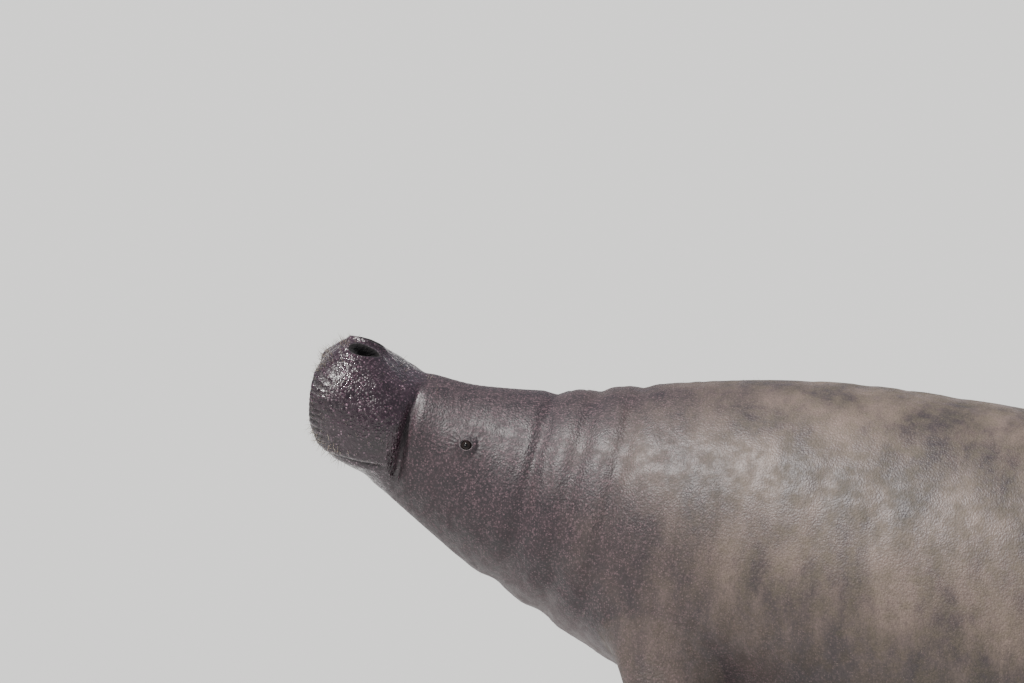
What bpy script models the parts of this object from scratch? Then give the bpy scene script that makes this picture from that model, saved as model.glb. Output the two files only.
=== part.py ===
"""Life-size adult Florida manatee, breathing pose, on a plain display stand.

Metres, +Z up. The head points to -X and the animal's left side faces -Y. The origin is the
centre of the stand's foot, on the floor.

The animal is shaped at rest, straight along an axis, where x is the distance behind the front of
the muzzle, y the side (minus is left) and z the height over the axis. Then every point is carried
to the pose by a spine that lifts the head and lets the tail droop.
"""

import math

import bmesh
import bpy
import numpy as np
from mathutils import Matrix, Vector

# Driving sizes of the animal
BODY_LENGTH = 3.0
MUZZLE_DEPTH = 0.066
MUZZLE_BLUNTNESS = 2.8
MUZZLE_CENTRE_Z = -0.020
PADDLE_END = 0.245
PADDLE_BLUNTNESS = 2.15

# Sections of the body along its length: where, half width, top, bottom and level of greatest width
STATIONS = (0.0, 0.045, 0.09, 0.13, 0.168, 0.21, 0.26, 0.33, 0.43, 0.56, 0.74, 0.98, 1.30,
            1.60, 1.85, 2.05, 2.20, 2.32, 2.42, 2.53, 2.64, 2.755, 3.0)
HALF_WIDTHS = (0.080, 0.092, 0.099, 0.100, 0.097, 0.104, 0.118, 0.143, 0.182, 0.227, 0.279, 0.322,
               0.345, 0.331, 0.288, 0.235, 0.189, 0.160, 0.174, 0.232, 0.288, 0.312, 0.312)
TOPS = (0.062, 0.072, 0.0635, 0.0550, 0.0635, 0.0755, 0.096, 0.123, 0.161, 0.205, 0.256, 0.299,
        0.318, 0.302, 0.256, 0.202, 0.152, 0.116, 0.090, 0.068, 0.052, 0.040, 0.016)
BOTTOMS = (-0.088, -0.106, -0.120, -0.127, -0.132, -0.140, -0.151, -0.171, -0.201, -0.240, -0.284, -0.321,
           -0.338, -0.323, -0.275, -0.213, -0.156, -0.118, -0.090, -0.066, -0.050, -0.038, -0.016)
WIDEST = (-0.034, -0.040, -0.040, -0.034, -0.028, -0.024, -0.020, -0.016, -0.014, -0.014, -0.012, -0.012,
          -0.016, -0.014, -0.010, -0.006, 0.0, 0.0, 0.0, 0.0, 0.0, 0.0, 0.0)
SQUARENESS_AT = (0.0, 0.10, 0.20, 0.35, 0.60, 1.30, 2.20, 2.50, 3.0)
SQUARENESS = (2.12, 2.18, 2.12, 2.05, 2.0, 2.08, 2.0, 1.72, 1.70)

# Pose: pitch of the spine in degrees, nose up, at stations along it
PITCH_AT = (0.0, 0.06, 0.12, 0.18, 0.25, 0.33, 0.46, 0.70, 1.20, 1.90, 2.25, 2.60, 3.0)
PITCH = (4.0, 13.0, 22.5, 29.0, 28.5, 23.5, 15.5, 13.5, 14.0, 11.5, 13.0, 11.0, 6.0)
AXIS_HEIGHT = 0.730
AXIS_STATION = 1.30
FOOT_STATION = 1.28

# Mesh fineness
SEGMENTS = 46
MUZZLE_RINGS = 10
PADDLE_RINGS = 7
MIDDLE_RINGS = 58
RING_DENSITY_AT = (0.0, 0.10, 0.20, 0.30, 0.45, 0.70, 1.30, 1.95, 2.30, 2.50, 3.0)
RING_DENSITY = (95.0, 95.0, 85.0, 45.0, 34.0, 18.0, 11.0, 13.0, 20.0, 18.0, 18.0)

# Where the body is parted into named pieces
PART_GAP = 0.0004
CREASE_STATION = 0.160
CREASE_LEAN = 0.20
NAPE_STATION = 0.345
SHOULDER_STATION = 0.495
LOIN_STATION = 1.93
PADDLE_STATION = 2.40

# Muzzle and face
MOUTH_FRONT_Z = -0.086
MOUTH_REAR_Z = -0.072
MOUTH_CORNER = 0.146
NOSTRIL_STATION = 0.062
NOSTRIL_SIDE = 0.0235
NOSTRIL_RADII = (0.0185, 0.0140, 0.030)
NOSTRIL_MOUND = (0.0340, 0.0215, 0.0120)
NOSTRIL_SPLAY = -18.0
EYE_STATION = 0.252
EYE_LEVEL = 0.034
EYE_RADIUS = 0.0105
EYE_SINK = 0.0062
EYE_SEGMENTS = 14
EYE_OPENING = (0.0090, 0.0066, 0.0120)
LID_MOUND = (0.0250, 0.0195, 0.0120)
MOUND_SINK = 0.0080
MOUND_SEGMENTS = 24
MESH_TWIST = 4.7
FIT_GAP = 0.0004

# Flippers
FLIPPER_ROOT = (0.578, 0.150, -0.072)
FLIPPER_DIRECTION = (0.50, 0.56, -0.66)
FLIPPER_LENGTH = 0.555
FLIPPER_AT = (0.0, 0.24, 0.40, 0.56, 0.72, 0.87, 1.0)
FLIPPER_HALF_CHORDS = (0.088, 0.074, 0.066, 0.072, 0.081, 0.077, 0.066)
FLIPPER_HALF_THICKNESSES = (0.062, 0.047, 0.035, 0.026, 0.019, 0.015, 0.012)
FLIPPER_SWEEP = 0.045
FLIPPER_CURL = 0.030
FLIPPER_TIP = 0.155
FLIPPER_BLUNTNESS = 2.2
FLIPPER_SEGMENTS = 20
FLIPPER_RINGS = 17
NAILS = 3
NAIL_FAN = 38.0
NAIL_SHARE = 0.952
NAIL_SHARE_STEP = 0.018
NAIL_LENGTH = 0.013
NAIL_WIDTH = 0.0085
NAIL_HEIGHT = 0.0035

# Stand
BASE_LENGTH = 1.40
BASE_WIDTH = 0.60
BASE_THICKNESS = 0.030
BASE_EDGE = 0.005
ROD_RADIUS = 0.024
ROD_STATIONS = {"front": 0.86, "rear": 1.74}
ROD_FLANGE_RADIUS = 0.062
ROD_FLANGE_HEIGHT = 0.012
ROD_FILLET = 0.010
FILLET_MIDDLE = 0.3 * ROD_FILLET
ROD_REACH = 0.06
ROD_SEGMENTS = 24

# Colours: base colour, roughness and metallic value
SKIN = ((0.085, 0.062, 0.074), 0.45, 0.0)
MUZZLE_SKIN = ((0.058, 0.039, 0.049), 0.35, 0.0)
BACK_SKIN = ((0.150, 0.122, 0.112), 0.50, 0.0)
EYE_GLOSS = ((0.012, 0.009, 0.008), 0.08, 0.0)
NAIL_HORN = ((0.42, 0.36, 0.29), 0.40, 0.0)
STAND_PAINT = ((0.035, 0.036, 0.038), 0.45, 0.0)
STAND_STEEL = ((0.30, 0.30, 0.31), 0.35, 1.0)


def natural_spline(knots, values):
    """A smooth curve through (knots, values), as a function of an array."""
    x, y = np.array(knots, float), np.array(values, float)
    h = np.diff(x)
    count = len(x)
    matrix = np.eye(count)
    target = np.zeros(count)
    for i in range(1, count - 1):
        matrix[i, i - 1:i + 2] = h[i - 1], 2 * (h[i - 1] + h[i]), h[i]
        target[i] = 6 * ((y[i + 1] - y[i]) / h[i] - (y[i] - y[i - 1]) / h[i - 1])
    bend = np.linalg.solve(matrix, target)

    def curve(at):
        at = np.clip(at, x[0], x[-1])
        i = np.clip(np.searchsorted(x, at) - 1, 0, count - 2)
        after, before = at - x[i], x[i + 1] - at
        cubic = (bend[i] * before ** 3 + bend[i + 1] * after ** 3) / (6 * h[i])
        low = (y[i] / h[i] - bend[i] * h[i] / 6) * before
        high = (y[i + 1] / h[i] - bend[i + 1] * h[i] / 6) * after
        return cubic + low + high

    return curve


WIDTH_CURVE = natural_spline(STATIONS, HALF_WIDTHS)
TOP_CURVE = natural_spline(STATIONS, TOPS)
BOTTOM_CURVE = natural_spline(STATIONS, BOTTOMS)
WIDEST_CURVE = natural_spline(STATIONS, WIDEST)
SQUARENESS_CURVE = natural_spline(SQUARENESS_AT, SQUARENESS)
PITCH_CURVE = natural_spline(PITCH_AT, PITCH)
CHORD_CURVE = natural_spline(FLIPPER_AT, FLIPPER_HALF_CHORDS)
THICKNESS_CURVE = natural_spline(FLIPPER_AT, FLIPPER_HALF_THICKNESSES)


def step(edge_0, edge_1, value):
    """0 before edge_0, 1 after edge_1 and smooth between them."""
    t = np.clip((value - edge_0) / (edge_1 - edge_0), 0, 1)
    return t * t * (3 - 2 * t)


def window(low, high, fade, value):
    """1 between low and high, fading out over the length fade."""
    return step(low - fade, low + fade, value) * (1 - step(high - fade, high + fade, value))


def hill(value, width):
    """A rounded hill of height 1 about 0."""
    return np.exp(-(value / width) ** 2)


def bump(points, centre, radii):
    """A rounded bump of height 1, the same on both sides of the animal."""
    x, y, z = points
    cx, cy, cz = centre
    rx, ry, rz = radii
    return np.exp(-((x - cx) / rx) ** 2 - ((np.abs(y) - cy) / ry) ** 2 - ((z - cz) / rz) ** 2)


def spine_table():
    """Stations along the spine with their place and pitch in the stand's frame."""
    stations = np.linspace(0, BODY_LENGTH, 1201)
    pitch = np.radians(PITCH_CURVE(stations))
    middle = (pitch[1:] + pitch[:-1]) / 2
    stride = np.diff(stations)
    run = np.concatenate([[0], np.cumsum(np.cos(middle) * stride)])
    drop = np.concatenate([[0], np.cumsum(-np.sin(middle) * stride)])
    place_x = run - np.interp(FOOT_STATION, stations, run)
    place_z = drop - np.interp(AXIS_STATION, stations, drop) + AXIS_HEIGHT
    return stations, place_x, place_z, pitch


SPINE = spine_table()


def pose(points):
    """Carries points at rest, the last axis x, y, z, to the pose."""
    points = np.asarray(points, float)
    place_x, place_z, pitch = (np.interp(points[..., 0], SPINE[0], column) for column in SPINE[1:])
    height = points[..., 2]
    posed = (place_x + height * np.sin(pitch), points[..., 1], place_z + height * np.cos(pitch))
    return np.stack(posed, axis=-1)


def posed_plane(first, second, towards):
    """Upright plane in the pose through two places (x, z) at rest: a point and its normal.

    The normal points to the side where the place towards, also at rest, lies.
    """
    start, end, side = (pose((x, 0, z)) for x, z in (first, second, towards))
    normal = np.cross(end - start, (0, 1, 0))
    normal = normal / np.linalg.norm(normal)
    return start, normal * math.copysign(1, (side - start).dot(normal))


MOUTH_PLANE = posed_plane((0.0, MOUTH_FRONT_Z), (CREASE_STATION, MOUTH_REAR_Z), (0.1, 0.1))
CREASE_PLANE = posed_plane((CREASE_STATION, 0.0), (CREASE_STATION - CREASE_LEAN * 0.1, 0.1), (1.0, 0.0))


def beyond(plane, x, z):
    """How far places at rest lie beyond a plane of the pose."""
    point, normal = plane
    return (pose(np.stack(np.broadcast_arrays(x, 0 * z, z), axis=-1)) - point) @ normal


def face_relief(x, y, z):
    """How far the face stands out from its plain section, by its named forms."""
    points = (x, y, z)
    side = np.abs(y)
    lip_pads = 0.016 * bump(points, (0.044, 0.060, -0.022), (0.062, 0.046, 0.062))
    front_pads = 0.016 * bump(points, (0.008, 0.056, 0.000), (0.045, 0.042, 0.034))
    nostril_mounds = 0.0055 * bump(points, (0.060, 0.018, 0.080), (0.035, 0.021, 0.030))
    rear_pads = 0.007 * bump(points, (0.112, 0.090, 0.0), (0.036, 0.060, 0.070))
    eye_mounds = 0.006 * bump(points, (EYE_STATION, 0.118, EYE_LEVEL), (0.034, 0.030, 0.028))
    cheeks = 0.006 * bump(points, (0.300, 0.130, -0.070), (0.060, 0.060, 0.060))
    chin = 0.013 * bump(points, (0.045, 0.0, -0.122), (0.055, 0.058, 0.030))
    front_groove = 0.013 * hill(y, 0.010) * (1 - step(0.040, 0.100, x)) * window(-0.120, 0.0, 0.030, z)
    nose_groove = 0.002 * hill(y, 0.010) * window(0.030, 0.095, 0.020, x) * step(0.040, 0.070, z)
    crease = 0.010 * hill(beyond(CREASE_PLANE, x, z), 0.010) * window(-0.105, 0.045, 0.030, z)
    crease *= step(0.020, 0.060, side)
    saddle = 0.006 * bump(points, (0.135, 0.0, 0.090), (0.035, 0.070, 0.030))
    face_hollow = 0.006 * bump(points, (0.196, 0.100, -0.030), (0.035, 0.050, 0.045))
    inside_mouth = 1 - step(MOUTH_CORNER - 0.02, MOUTH_CORNER + 0.02, x)
    above_mouth = beyond(MOUTH_PLANE, x, z)
    jaw_inset = 0.006 * inside_mouth * (1 - step(-0.010, 0.0, above_mouth))
    mouth_groove = 0.007 * inside_mouth * hill(above_mouth, 0.007)
    raised = lip_pads + front_pads + nostril_mounds + rear_pads + eye_mounds + cheeks + chin
    sunk = front_groove + nose_groove + crease + saddle + face_hollow + jaw_inset + mouth_groove
    return raised - sunk


def body_relief(x, y, z):
    """Folds of the neck, shoulder, loin and tail."""
    relief = np.zeros_like(x)
    for station, depth, lean in ((0.372, 0.0060, 0.16), (0.438, 0.0050, 0.10), (0.505, 0.0045, 0.05)):
        relief -= depth * hill(x - station + lean * z, 0.016) * step(-0.30, 0.05, z + 0.4 * np.abs(y))
    for station, depth in ((0.400, 0.007), (0.470, 0.006)):
        relief -= depth * hill(x - station - 0.15 * z, 0.018) * (1 - step(-0.14, -0.04, z))
    for station, depth in ((2.235, 0.006), (2.300, 0.007), (2.362, 0.006)):
        relief -= depth * hill(x - station, 0.014)
    relief += 0.020 * bump((x, y, z), (0.62, 0.195, -0.110), (0.120, 0.110, 0.100))
    relief -= 0.012 * bump((x, y, z), (0.780, 0.270, -0.150), (0.060, 0.090, 0.080))
    relief += 0.007 * hill(y, 0.050) * window(2.45, 2.85, 0.10, x)
    return relief


def ring_stations():
    """Stations of the loft's rings: close at the muzzle and the face, wide along the trunk."""
    turn = np.linspace(0, math.pi / 2, MUZZLE_RINGS + 1)
    muzzle = MUZZLE_DEPTH * (1 - np.cos(turn))
    paddle = BODY_LENGTH - PADDLE_END * (1 - np.cos(np.linspace(math.pi / 2, 0, PADDLE_RINGS + 1)))
    fine = np.linspace(MUZZLE_DEPTH, BODY_LENGTH - PADDLE_END, 2000)
    density = np.interp(fine, RING_DENSITY_AT, RING_DENSITY)
    total = np.concatenate([[0], np.cumsum((density[1:] + density[:-1]) / 2 * np.diff(fine))])
    middle = np.interp(np.linspace(0, total[-1], MIDDLE_RINGS + 1), total, fine)
    return np.concatenate([muzzle[:-1], middle, paddle[1:]])


def bluntness(x):
    """How full the section is, from 0 at either end of the animal to 1 along it."""
    ahead = np.clip(1 - x / MUZZLE_DEPTH, 0, 1)
    behind = np.clip(1 - (BODY_LENGTH - x) / PADDLE_END, 0, 1)
    front = (1 - ahead ** MUZZLE_BLUNTNESS) ** (1 / MUZZLE_BLUNTNESS)
    back = (1 - behind ** PADDLE_BLUNTNESS) ** (1 / PADDLE_BLUNTNESS)
    return front * back


def section_points(x, turn):
    """Plain body surface at rest at the stations x and the angles turn round the axis."""
    x = np.clip(x, 0, BODY_LENGTH)
    full = bluntness(x)
    centre = MUZZLE_CENTRE_Z * (1 - step(0.0, 0.4, x))
    top = centre + (TOP_CURVE(x) - centre) * full
    bottom = centre + (BOTTOM_CURVE(x) - centre) * full
    widest = centre + (WIDEST_CURVE(x) - centre) * full
    power = 2 / SQUARENESS_CURVE(x)
    across, up = np.cos(turn), np.sin(turn)
    y = WIDTH_CURVE(x) * full * np.sign(across) * np.abs(across) ** power
    reach = np.where(up > 0, top - widest, widest - bottom)
    z = widest + reach * np.sign(up) * np.abs(up) ** power
    return np.stack(np.broadcast_arrays(x, y, z), axis=-1)


def unit(vectors):
    """Vectors of length 1 along the last axis, where they have a length at all."""
    return vectors / np.maximum(np.linalg.norm(vectors, axis=-1, keepdims=True), 1e-12)


def skin_points(x, turn, swell=0.0):
    """Body surface at rest with its forms, swollen by the length swell, and its outward directions."""
    reach = 1e-4
    plain = section_points(x, turn)
    along = section_points(x + reach, turn) - section_points(x - reach, turn)
    around = section_points(x, turn + reach) - section_points(x, turn - reach)
    outward = unit(np.cross(around, along))
    relief = face_relief(*np.moveaxis(plain, -1, 0)) + body_relief(*np.moveaxis(plain, -1, 0))
    return plain + outward * (relief + swell)[..., None], outward


def body_points(swell=0.0):
    """Grid of the body's surface at rest, ring by ring, swollen by the length swell."""
    stations = ring_stations()
    turn = np.linspace(-math.pi / 2, 1.5 * math.pi, SEGMENTS, endpoint=False)
    points, _ = skin_points(*np.meshgrid(stations, turn, indexing="ij"), swell)
    ends = np.array((0.0, BODY_LENGTH))
    middle = section_points(ends, np.zeros(2))
    sunk = face_relief(*middle.T) + body_relief(*middle.T)
    points[0], points[-1] = middle + np.outer((sunk + swell) * (-1, 1), (1, 0, 0))
    return points


def loft(rings):
    """Closed mesh through rings of points, whose first and last rings may be single points."""
    mesh = bmesh.new()
    count = len(rings[0])
    rows = [[mesh.verts.new(point) for point in ring] for ring in rings]
    for row, following in zip(rows, rows[1:]):
        for i in range(count):
            after = (i + 1) % count
            mesh.faces.new((row[i], row[after], following[after]))
            mesh.faces.new((row[i], following[after], following[i]))
    if np.ptp(np.asarray(rings[0]), axis=0).max() > 1e-9:
        mesh.faces.new(rows[0][::-1])
    if np.ptp(np.asarray(rings[-1]), axis=0).max() > 1e-9:
        mesh.faces.new(rows[-1])
    bmesh.ops.remove_doubles(mesh, verts=mesh.verts, dist=1e-7)
    bmesh.ops.recalc_face_normals(mesh, faces=mesh.faces)
    return mesh


def cut_away(mesh, point, normal):
    """Removes what lies ahead of the plane and closes the cut with a flat face."""
    whole = mesh.verts[:] + mesh.edges[:] + mesh.faces[:]
    cut = bmesh.ops.bisect_plane(mesh, geom=whole, plane_co=point, plane_no=normal, clear_outer=True,
                                 dist=1e-7)
    rim = [item for item in cut["geom_cut"] if isinstance(item, bmesh.types.BMEdge)]
    bmesh.ops.holes_fill(mesh, edges=rim, sides=0)


def pose_mesh(mesh):
    """Carries a mesh at rest to the pose."""
    points = pose([vertex.co for vertex in mesh.verts])
    for vertex, point in zip(mesh.verts, points):
        vertex.co = point


def material(name, look):
    """Principled material of this name, made once."""
    found = bpy.data.materials.get(name)
    if found:
        return found
    colour, roughness, metallic = look
    made = bpy.data.materials.new(name)
    made.use_nodes = True
    shader = made.node_tree.nodes["Principled BSDF"]
    shader.inputs["Base Color"].default_value = (*colour, 1.0)
    shader.inputs["Roughness"].default_value = roughness
    shader.inputs["Metallic"].default_value = metallic
    made.diffuse_color = (*colour, 1.0)
    return made


def add_object(name, mesh, look, look_name, collection, smooth_angle=40.0):
    """Turns a bmesh into a named object with its material."""
    data = bpy.data.meshes.new(name)
    mesh.to_mesh(data)
    mesh.free()
    data.shade_smooth()
    data.set_sharp_from_angle(angle=math.radians(smooth_angle))
    data.materials.append(material(look_name, look))
    made = bpy.data.objects.new(name, data)
    collection.objects.link(made)
    return made


def apply_boolean(target, other, operation):
    """Cuts the other object out of the target, or joins it, for good."""
    change = target.modifiers.new("change", "BOOLEAN")
    change.operation = operation
    change.solver = "EXACT"
    change.object = other
    bpy.context.view_layer.update()
    graph = bpy.context.evaluated_depsgraph_get()
    data = bpy.data.meshes.new_from_object(target.evaluated_get(graph))
    target.modifiers.clear()
    target.data = data
    keep_largest(target)


def keep_largest(target):
    """Drops every loose scrap of the object's mesh but the largest."""
    mesh = bmesh.new()
    mesh.from_mesh(target.data)
    left = set(mesh.verts)
    pieces = []
    while left:
        grown = [left.pop()]
        piece = set(grown)
        while grown:
            for edge in grown.pop().link_edges:
                for vertex in edge.verts:
                    if vertex in left:
                        left.remove(vertex)
                        piece.add(vertex)
                        grown.append(vertex)
        pieces.append(piece)
    largest = max(pieces, key=len)
    scraps = [vertex for piece in pieces if piece is not largest for vertex in piece]
    bmesh.ops.delete(mesh, geom=scraps, context="VERTS")
    mesh.to_mesh(target.data)
    mesh.free()


def build_body(collection):
    """The flesh from muzzle to paddle, parted at flat sections, and the jaw parted at the mouth."""
    grid = body_points()
    cuts = {station: posed_plane((station, -0.1), (station, 0.1), (BODY_LENGTH, 0))
            for station in (NAPE_STATION, SHOULDER_STATION, LOIN_STATION, PADDLE_STATION)}
    ahead_of_crease = (CREASE_PLANE, -1)
    pieces = (
        ("muzzle", (ahead_of_crease, (MOUTH_PLANE, 1)), MUZZLE_SKIN, "muzzle_skin"),
        ("lower_jaw", (ahead_of_crease, (MOUTH_PLANE, -1)), MUZZLE_SKIN, "muzzle_skin"),
        ("head", ((CREASE_PLANE, 1), (cuts[NAPE_STATION], -1)), SKIN, "skin"),
        ("neck", ((cuts[NAPE_STATION], 1), (cuts[SHOULDER_STATION], -1)), SKIN, "skin"),
        ("torso", ((cuts[SHOULDER_STATION], 1), (cuts[LOIN_STATION], -1)), BACK_SKIN, "back_skin"),
        ("tail_stock", ((cuts[LOIN_STATION], 1), (cuts[PADDLE_STATION], -1)), BACK_SKIN, "back_skin"),
        ("tail_paddle", ((cuts[PADDLE_STATION], 1),), BACK_SKIN, "back_skin"),
    )
    made = {}
    for name, limits, look, look_name in pieces:
        mesh = loft(grid)
        pose_mesh(mesh)
        for (point, normal), kept in limits:
            normal = Vector(normal * kept)
            cut_away(mesh, Vector(point) + normal * PART_GAP / 2, -normal)
        made[name] = add_object(name, mesh, look, look_name, collection)
    return made


def build_swollen_body(collection):
    """The whole body a little swollen, which cuts its neighbours so that a thin gap stays."""
    mesh = loft(body_points(FIT_GAP))
    pose_mesh(mesh)
    return add_cutter("body_cutter", mesh, collection)


def skin_place(x, sign, side=None, level=None):
    """Point on the posed skin at a station and a side or level, with its three directions.

    The directions are back along the skin, across it, and out of it.
    """
    turns = np.linspace(0, math.pi / 2, 901) if side is not None else np.linspace(-1.2, 1.2, 901)
    ring = section_points(np.full_like(turns, x), turns)
    turn = np.interp(-side, -ring[:, 1], turns) if side is not None else np.interp(level, ring[:, 2], turns)
    reach = 0.002
    stations = np.array((x, x - reach, x + reach, x, x))
    angles = turn + np.array((0.0, 0.0, 0.0, -reach, reach)) * (1, 1, 1, 10, 10)
    points, _ = skin_points(stations, angles)
    place, ahead, behind, lower, upper = pose(points * (1, sign, 1))
    back = unit(behind - ahead)
    out = unit(np.cross(back, upper - lower)) * -sign
    return Vector(place), Vector(back), Vector(np.cross(out, back)), Vector(out)


def turned(back, across, out, place):
    """Matrix that carries local X, Y, Z to the three directions at a place."""
    matrix = Matrix((back, across, out)).transposed().to_4x4()
    return Matrix.Translation(place) @ matrix


def ellipsoid(frame, radii, twist=0.0):
    """A closed ellipsoid with its radii along the frame's three axes.

    The twist in degrees turns its mesh, not its shape, so that no edges meet a neighbour's.
    """
    mesh = bmesh.new()
    bmesh.ops.create_uvsphere(mesh, u_segments=MOUND_SEGMENTS, v_segments=MOUND_SEGMENTS // 2 + 1, radius=1.0)
    size = Matrix.Diagonal((*radii, 1)) @ Matrix.Rotation(math.radians(twist), 4, "Z")
    bmesh.ops.transform(mesh, matrix=frame @ size, verts=mesh.verts)
    return mesh


def fuse(target, mesh):
    """Joins a mesh to the target as one closed surface."""
    piece = add_object("piece", mesh, SKIN, "skin", bpy.context.scene.collection)
    apply_boolean(target, piece, "UNION")
    bpy.data.objects.remove(piece)


def add_cutter(name, mesh, cutters):
    """Keeps a mesh as a cutter, out of the render."""
    cutter = add_object(name, mesh, SKIN, "skin", cutters)
    cutter.hide_render = True
    cutter.display_type = "WIRE"
    return cutter


def carve(target, name, mesh, cutters):
    """Cuts a mesh out of the target and keeps it as a cutter."""
    apply_boolean(target, add_cutter(name, mesh, cutters), "DIFFERENCE")


def build_nostrils(muzzle, cutters):
    """Two open nostrils in low mounds: slanting oval pits on top of the muzzle."""
    for name, sign in (("left", -1), ("right", 1)):
        place, back, across, out = skin_place(NOSTRIL_STATION, sign, side=NOSTRIL_SIDE)
        frame = turned(back, across, out, place) @ Matrix.Rotation(math.radians(NOSTRIL_SPLAY * sign), 4, "Z")
        fuse(muzzle, ellipsoid(frame @ Matrix.Translation((0, 0, -MOUND_SINK)), NOSTRIL_MOUND))
        carve(muzzle, f"nostril_cutter_{name}", ellipsoid(frame, NOSTRIL_RADII, MESH_TWIST), cutters)


def build_eyes(head, collection, cutters):
    """Small dark eyes between lids, each in a socket that follows it with a thin gap."""
    for name, sign in (("left", -1), ("right", 1)):
        place, back, across, out = skin_place(EYE_STATION, sign, level=EYE_LEVEL)
        frame = turned(back, across, out, place)
        fuse(head, ellipsoid(frame @ Matrix.Translation((0, 0, -MOUND_SINK)), LID_MOUND))
        centre = place - out * EYE_SINK
        opening = add_cutter(f"socket_{name}", ellipsoid(frame, EYE_OPENING, MESH_TWIST), cutters)
        fuse(opening, ball_mesh(centre, EYE_RADIUS + FIT_GAP))
        apply_boolean(head, opening, "DIFFERENCE")
        add_object(f"eye_{name}", ball_mesh(centre, EYE_RADIUS), EYE_GLOSS, "eye", collection)


def ball_mesh(centre, radius):
    """A plain ball for an eye or its socket."""
    mesh = bmesh.new()
    bmesh.ops.create_uvsphere(mesh, u_segments=EYE_SEGMENTS, v_segments=EYE_SEGMENTS // 2 + 2, radius=radius)
    bmesh.ops.translate(mesh, verts=mesh.verts, vec=centre)
    return mesh


def flipper_frame(sign):
    """Root, length, chord and thickness directions of a flipper at rest, sign -1 for the left."""
    root = np.array(FLIPPER_ROOT) * (1, sign, 1)
    length = np.array(FLIPPER_DIRECTION) * (1, sign, 1)
    length = length / np.linalg.norm(length)
    chord = np.array((-1.0, 0.25 * sign, -0.25))
    chord = chord - length * chord.dot(length)
    chord = chord / np.linalg.norm(chord)
    thickness = np.cross(length, chord) * sign
    return root, length, chord, thickness


def flipper_point(sign, share, turn):
    """Flipper surface at rest at the share of its length and the angle turn round it."""
    root, length, chord, thickness = flipper_frame(sign)
    share = np.asarray(share, float)
    tip = np.clip(1 - (1 - share) / FLIPPER_TIP, 0, 1)
    full = (1 - tip ** FLIPPER_BLUNTNESS) ** (1 / FLIPPER_BLUNTNESS)
    half_chord = CHORD_CURVE(share) * full
    half_thickness = THICKNESS_CURVE(share) * full ** 0.7
    sweep = -FLIPPER_SWEEP * share ** 2
    curl = -FLIPPER_CURL * share ** 2
    across = half_chord * np.cos(turn) + sweep
    out = half_thickness * np.sin(turn) + curl
    return (root + np.multiply.outer(FLIPPER_LENGTH * share, length)
            + np.multiply.outer(across, chord) + np.multiply.outer(out, thickness))


def flipper_rings(sign):
    """Rings of a flipper at rest, from its root deep in the chest to its tip."""
    blade = np.linspace(0, 1 - FLIPPER_TIP, FLIPPER_RINGS - 6, endpoint=False)
    tip = 1 - FLIPPER_TIP * (1 - np.sin(np.linspace(0, math.pi / 2, 7)))
    turn = np.linspace(0, 2 * math.pi, FLIPPER_SEGMENTS, endpoint=False)
    return [flipper_point(sign, np.full_like(turn, share), turn) for share in (*blade, *tip)]


def nail_mesh(sign, index, swell):
    """A nail on the outer face of the flipper's rounded end."""
    from_middle = index - (NAILS - 1) / 2
    turn = math.radians(90 + NAIL_FAN * from_middle)
    share = NAIL_SHARE - NAIL_SHARE_STEP * abs(from_middle)
    place = flipper_point(sign, share, turn)
    inner = flipper_point(sign, share - 0.05, turn)
    chord = Vector(flipper_frame(sign)[2])
    length = Vector(place - inner).normalized()
    width = (chord - length * chord.dot(length)).normalized()
    mesh = bmesh.new()
    bmesh.ops.create_uvsphere(mesh, u_segments=10, v_segments=6, radius=1.0)
    size = Matrix.Diagonal((NAIL_LENGTH + swell, NAIL_WIDTH + swell, NAIL_HEIGHT + swell, 1))
    frame = turned(length, width, length.cross(width), place)
    bmesh.ops.transform(mesh, matrix=frame @ size, verts=mesh.verts)
    pose_mesh(mesh)
    return mesh


def build_flippers(body_cutter, collection, cutters):
    """Flippers cut to the chest that they grow from, with nails let into their tips."""
    for name, sign in (("left", -1), ("right", 1)):
        mesh = loft(flipper_rings(sign))
        pose_mesh(mesh)
        flipper = add_object(f"flipper_{name}", mesh, SKIN, "skin", collection)
        apply_boolean(flipper, body_cutter, "DIFFERENCE")
        for index in range(NAILS):
            carve(flipper, f"nail_cutter_{name}_{index + 1}", nail_mesh(sign, index, FIT_GAP), cutters)
            add_object(f"nail_{name}_{index + 1}", nail_mesh(sign, index, 0.0), NAIL_HORN, "nail", collection)


def build_stand(body_cutter, collection):
    """A flat base and two turned rods that reach up to the belly."""
    mesh = bmesh.new()
    bmesh.ops.create_cube(mesh, size=1.0)
    size = Matrix.Diagonal((BASE_LENGTH, BASE_WIDTH, BASE_THICKNESS, 1))
    place = Matrix.Translation((0, 0, BASE_THICKNESS / 2))
    bmesh.ops.transform(mesh, matrix=place @ size, verts=mesh.verts)
    base = add_object("stand_base", mesh, STAND_PAINT, "stand_paint", collection, 30.0)
    edge = base.modifiers.new("rounded edges", "BEVEL")
    edge.width = BASE_EDGE
    edge.segments = 2
    for name, station in ROD_STATIONS.items():
        belly = Vector(pose((station, 0.0, float(BOTTOM_CURVE(station)))))
        rod = build_rod(f"stand_rod_{name}", belly.x, belly.z + ROD_REACH, collection)
        apply_boolean(rod, body_cutter, "DIFFERENCE")


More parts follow.
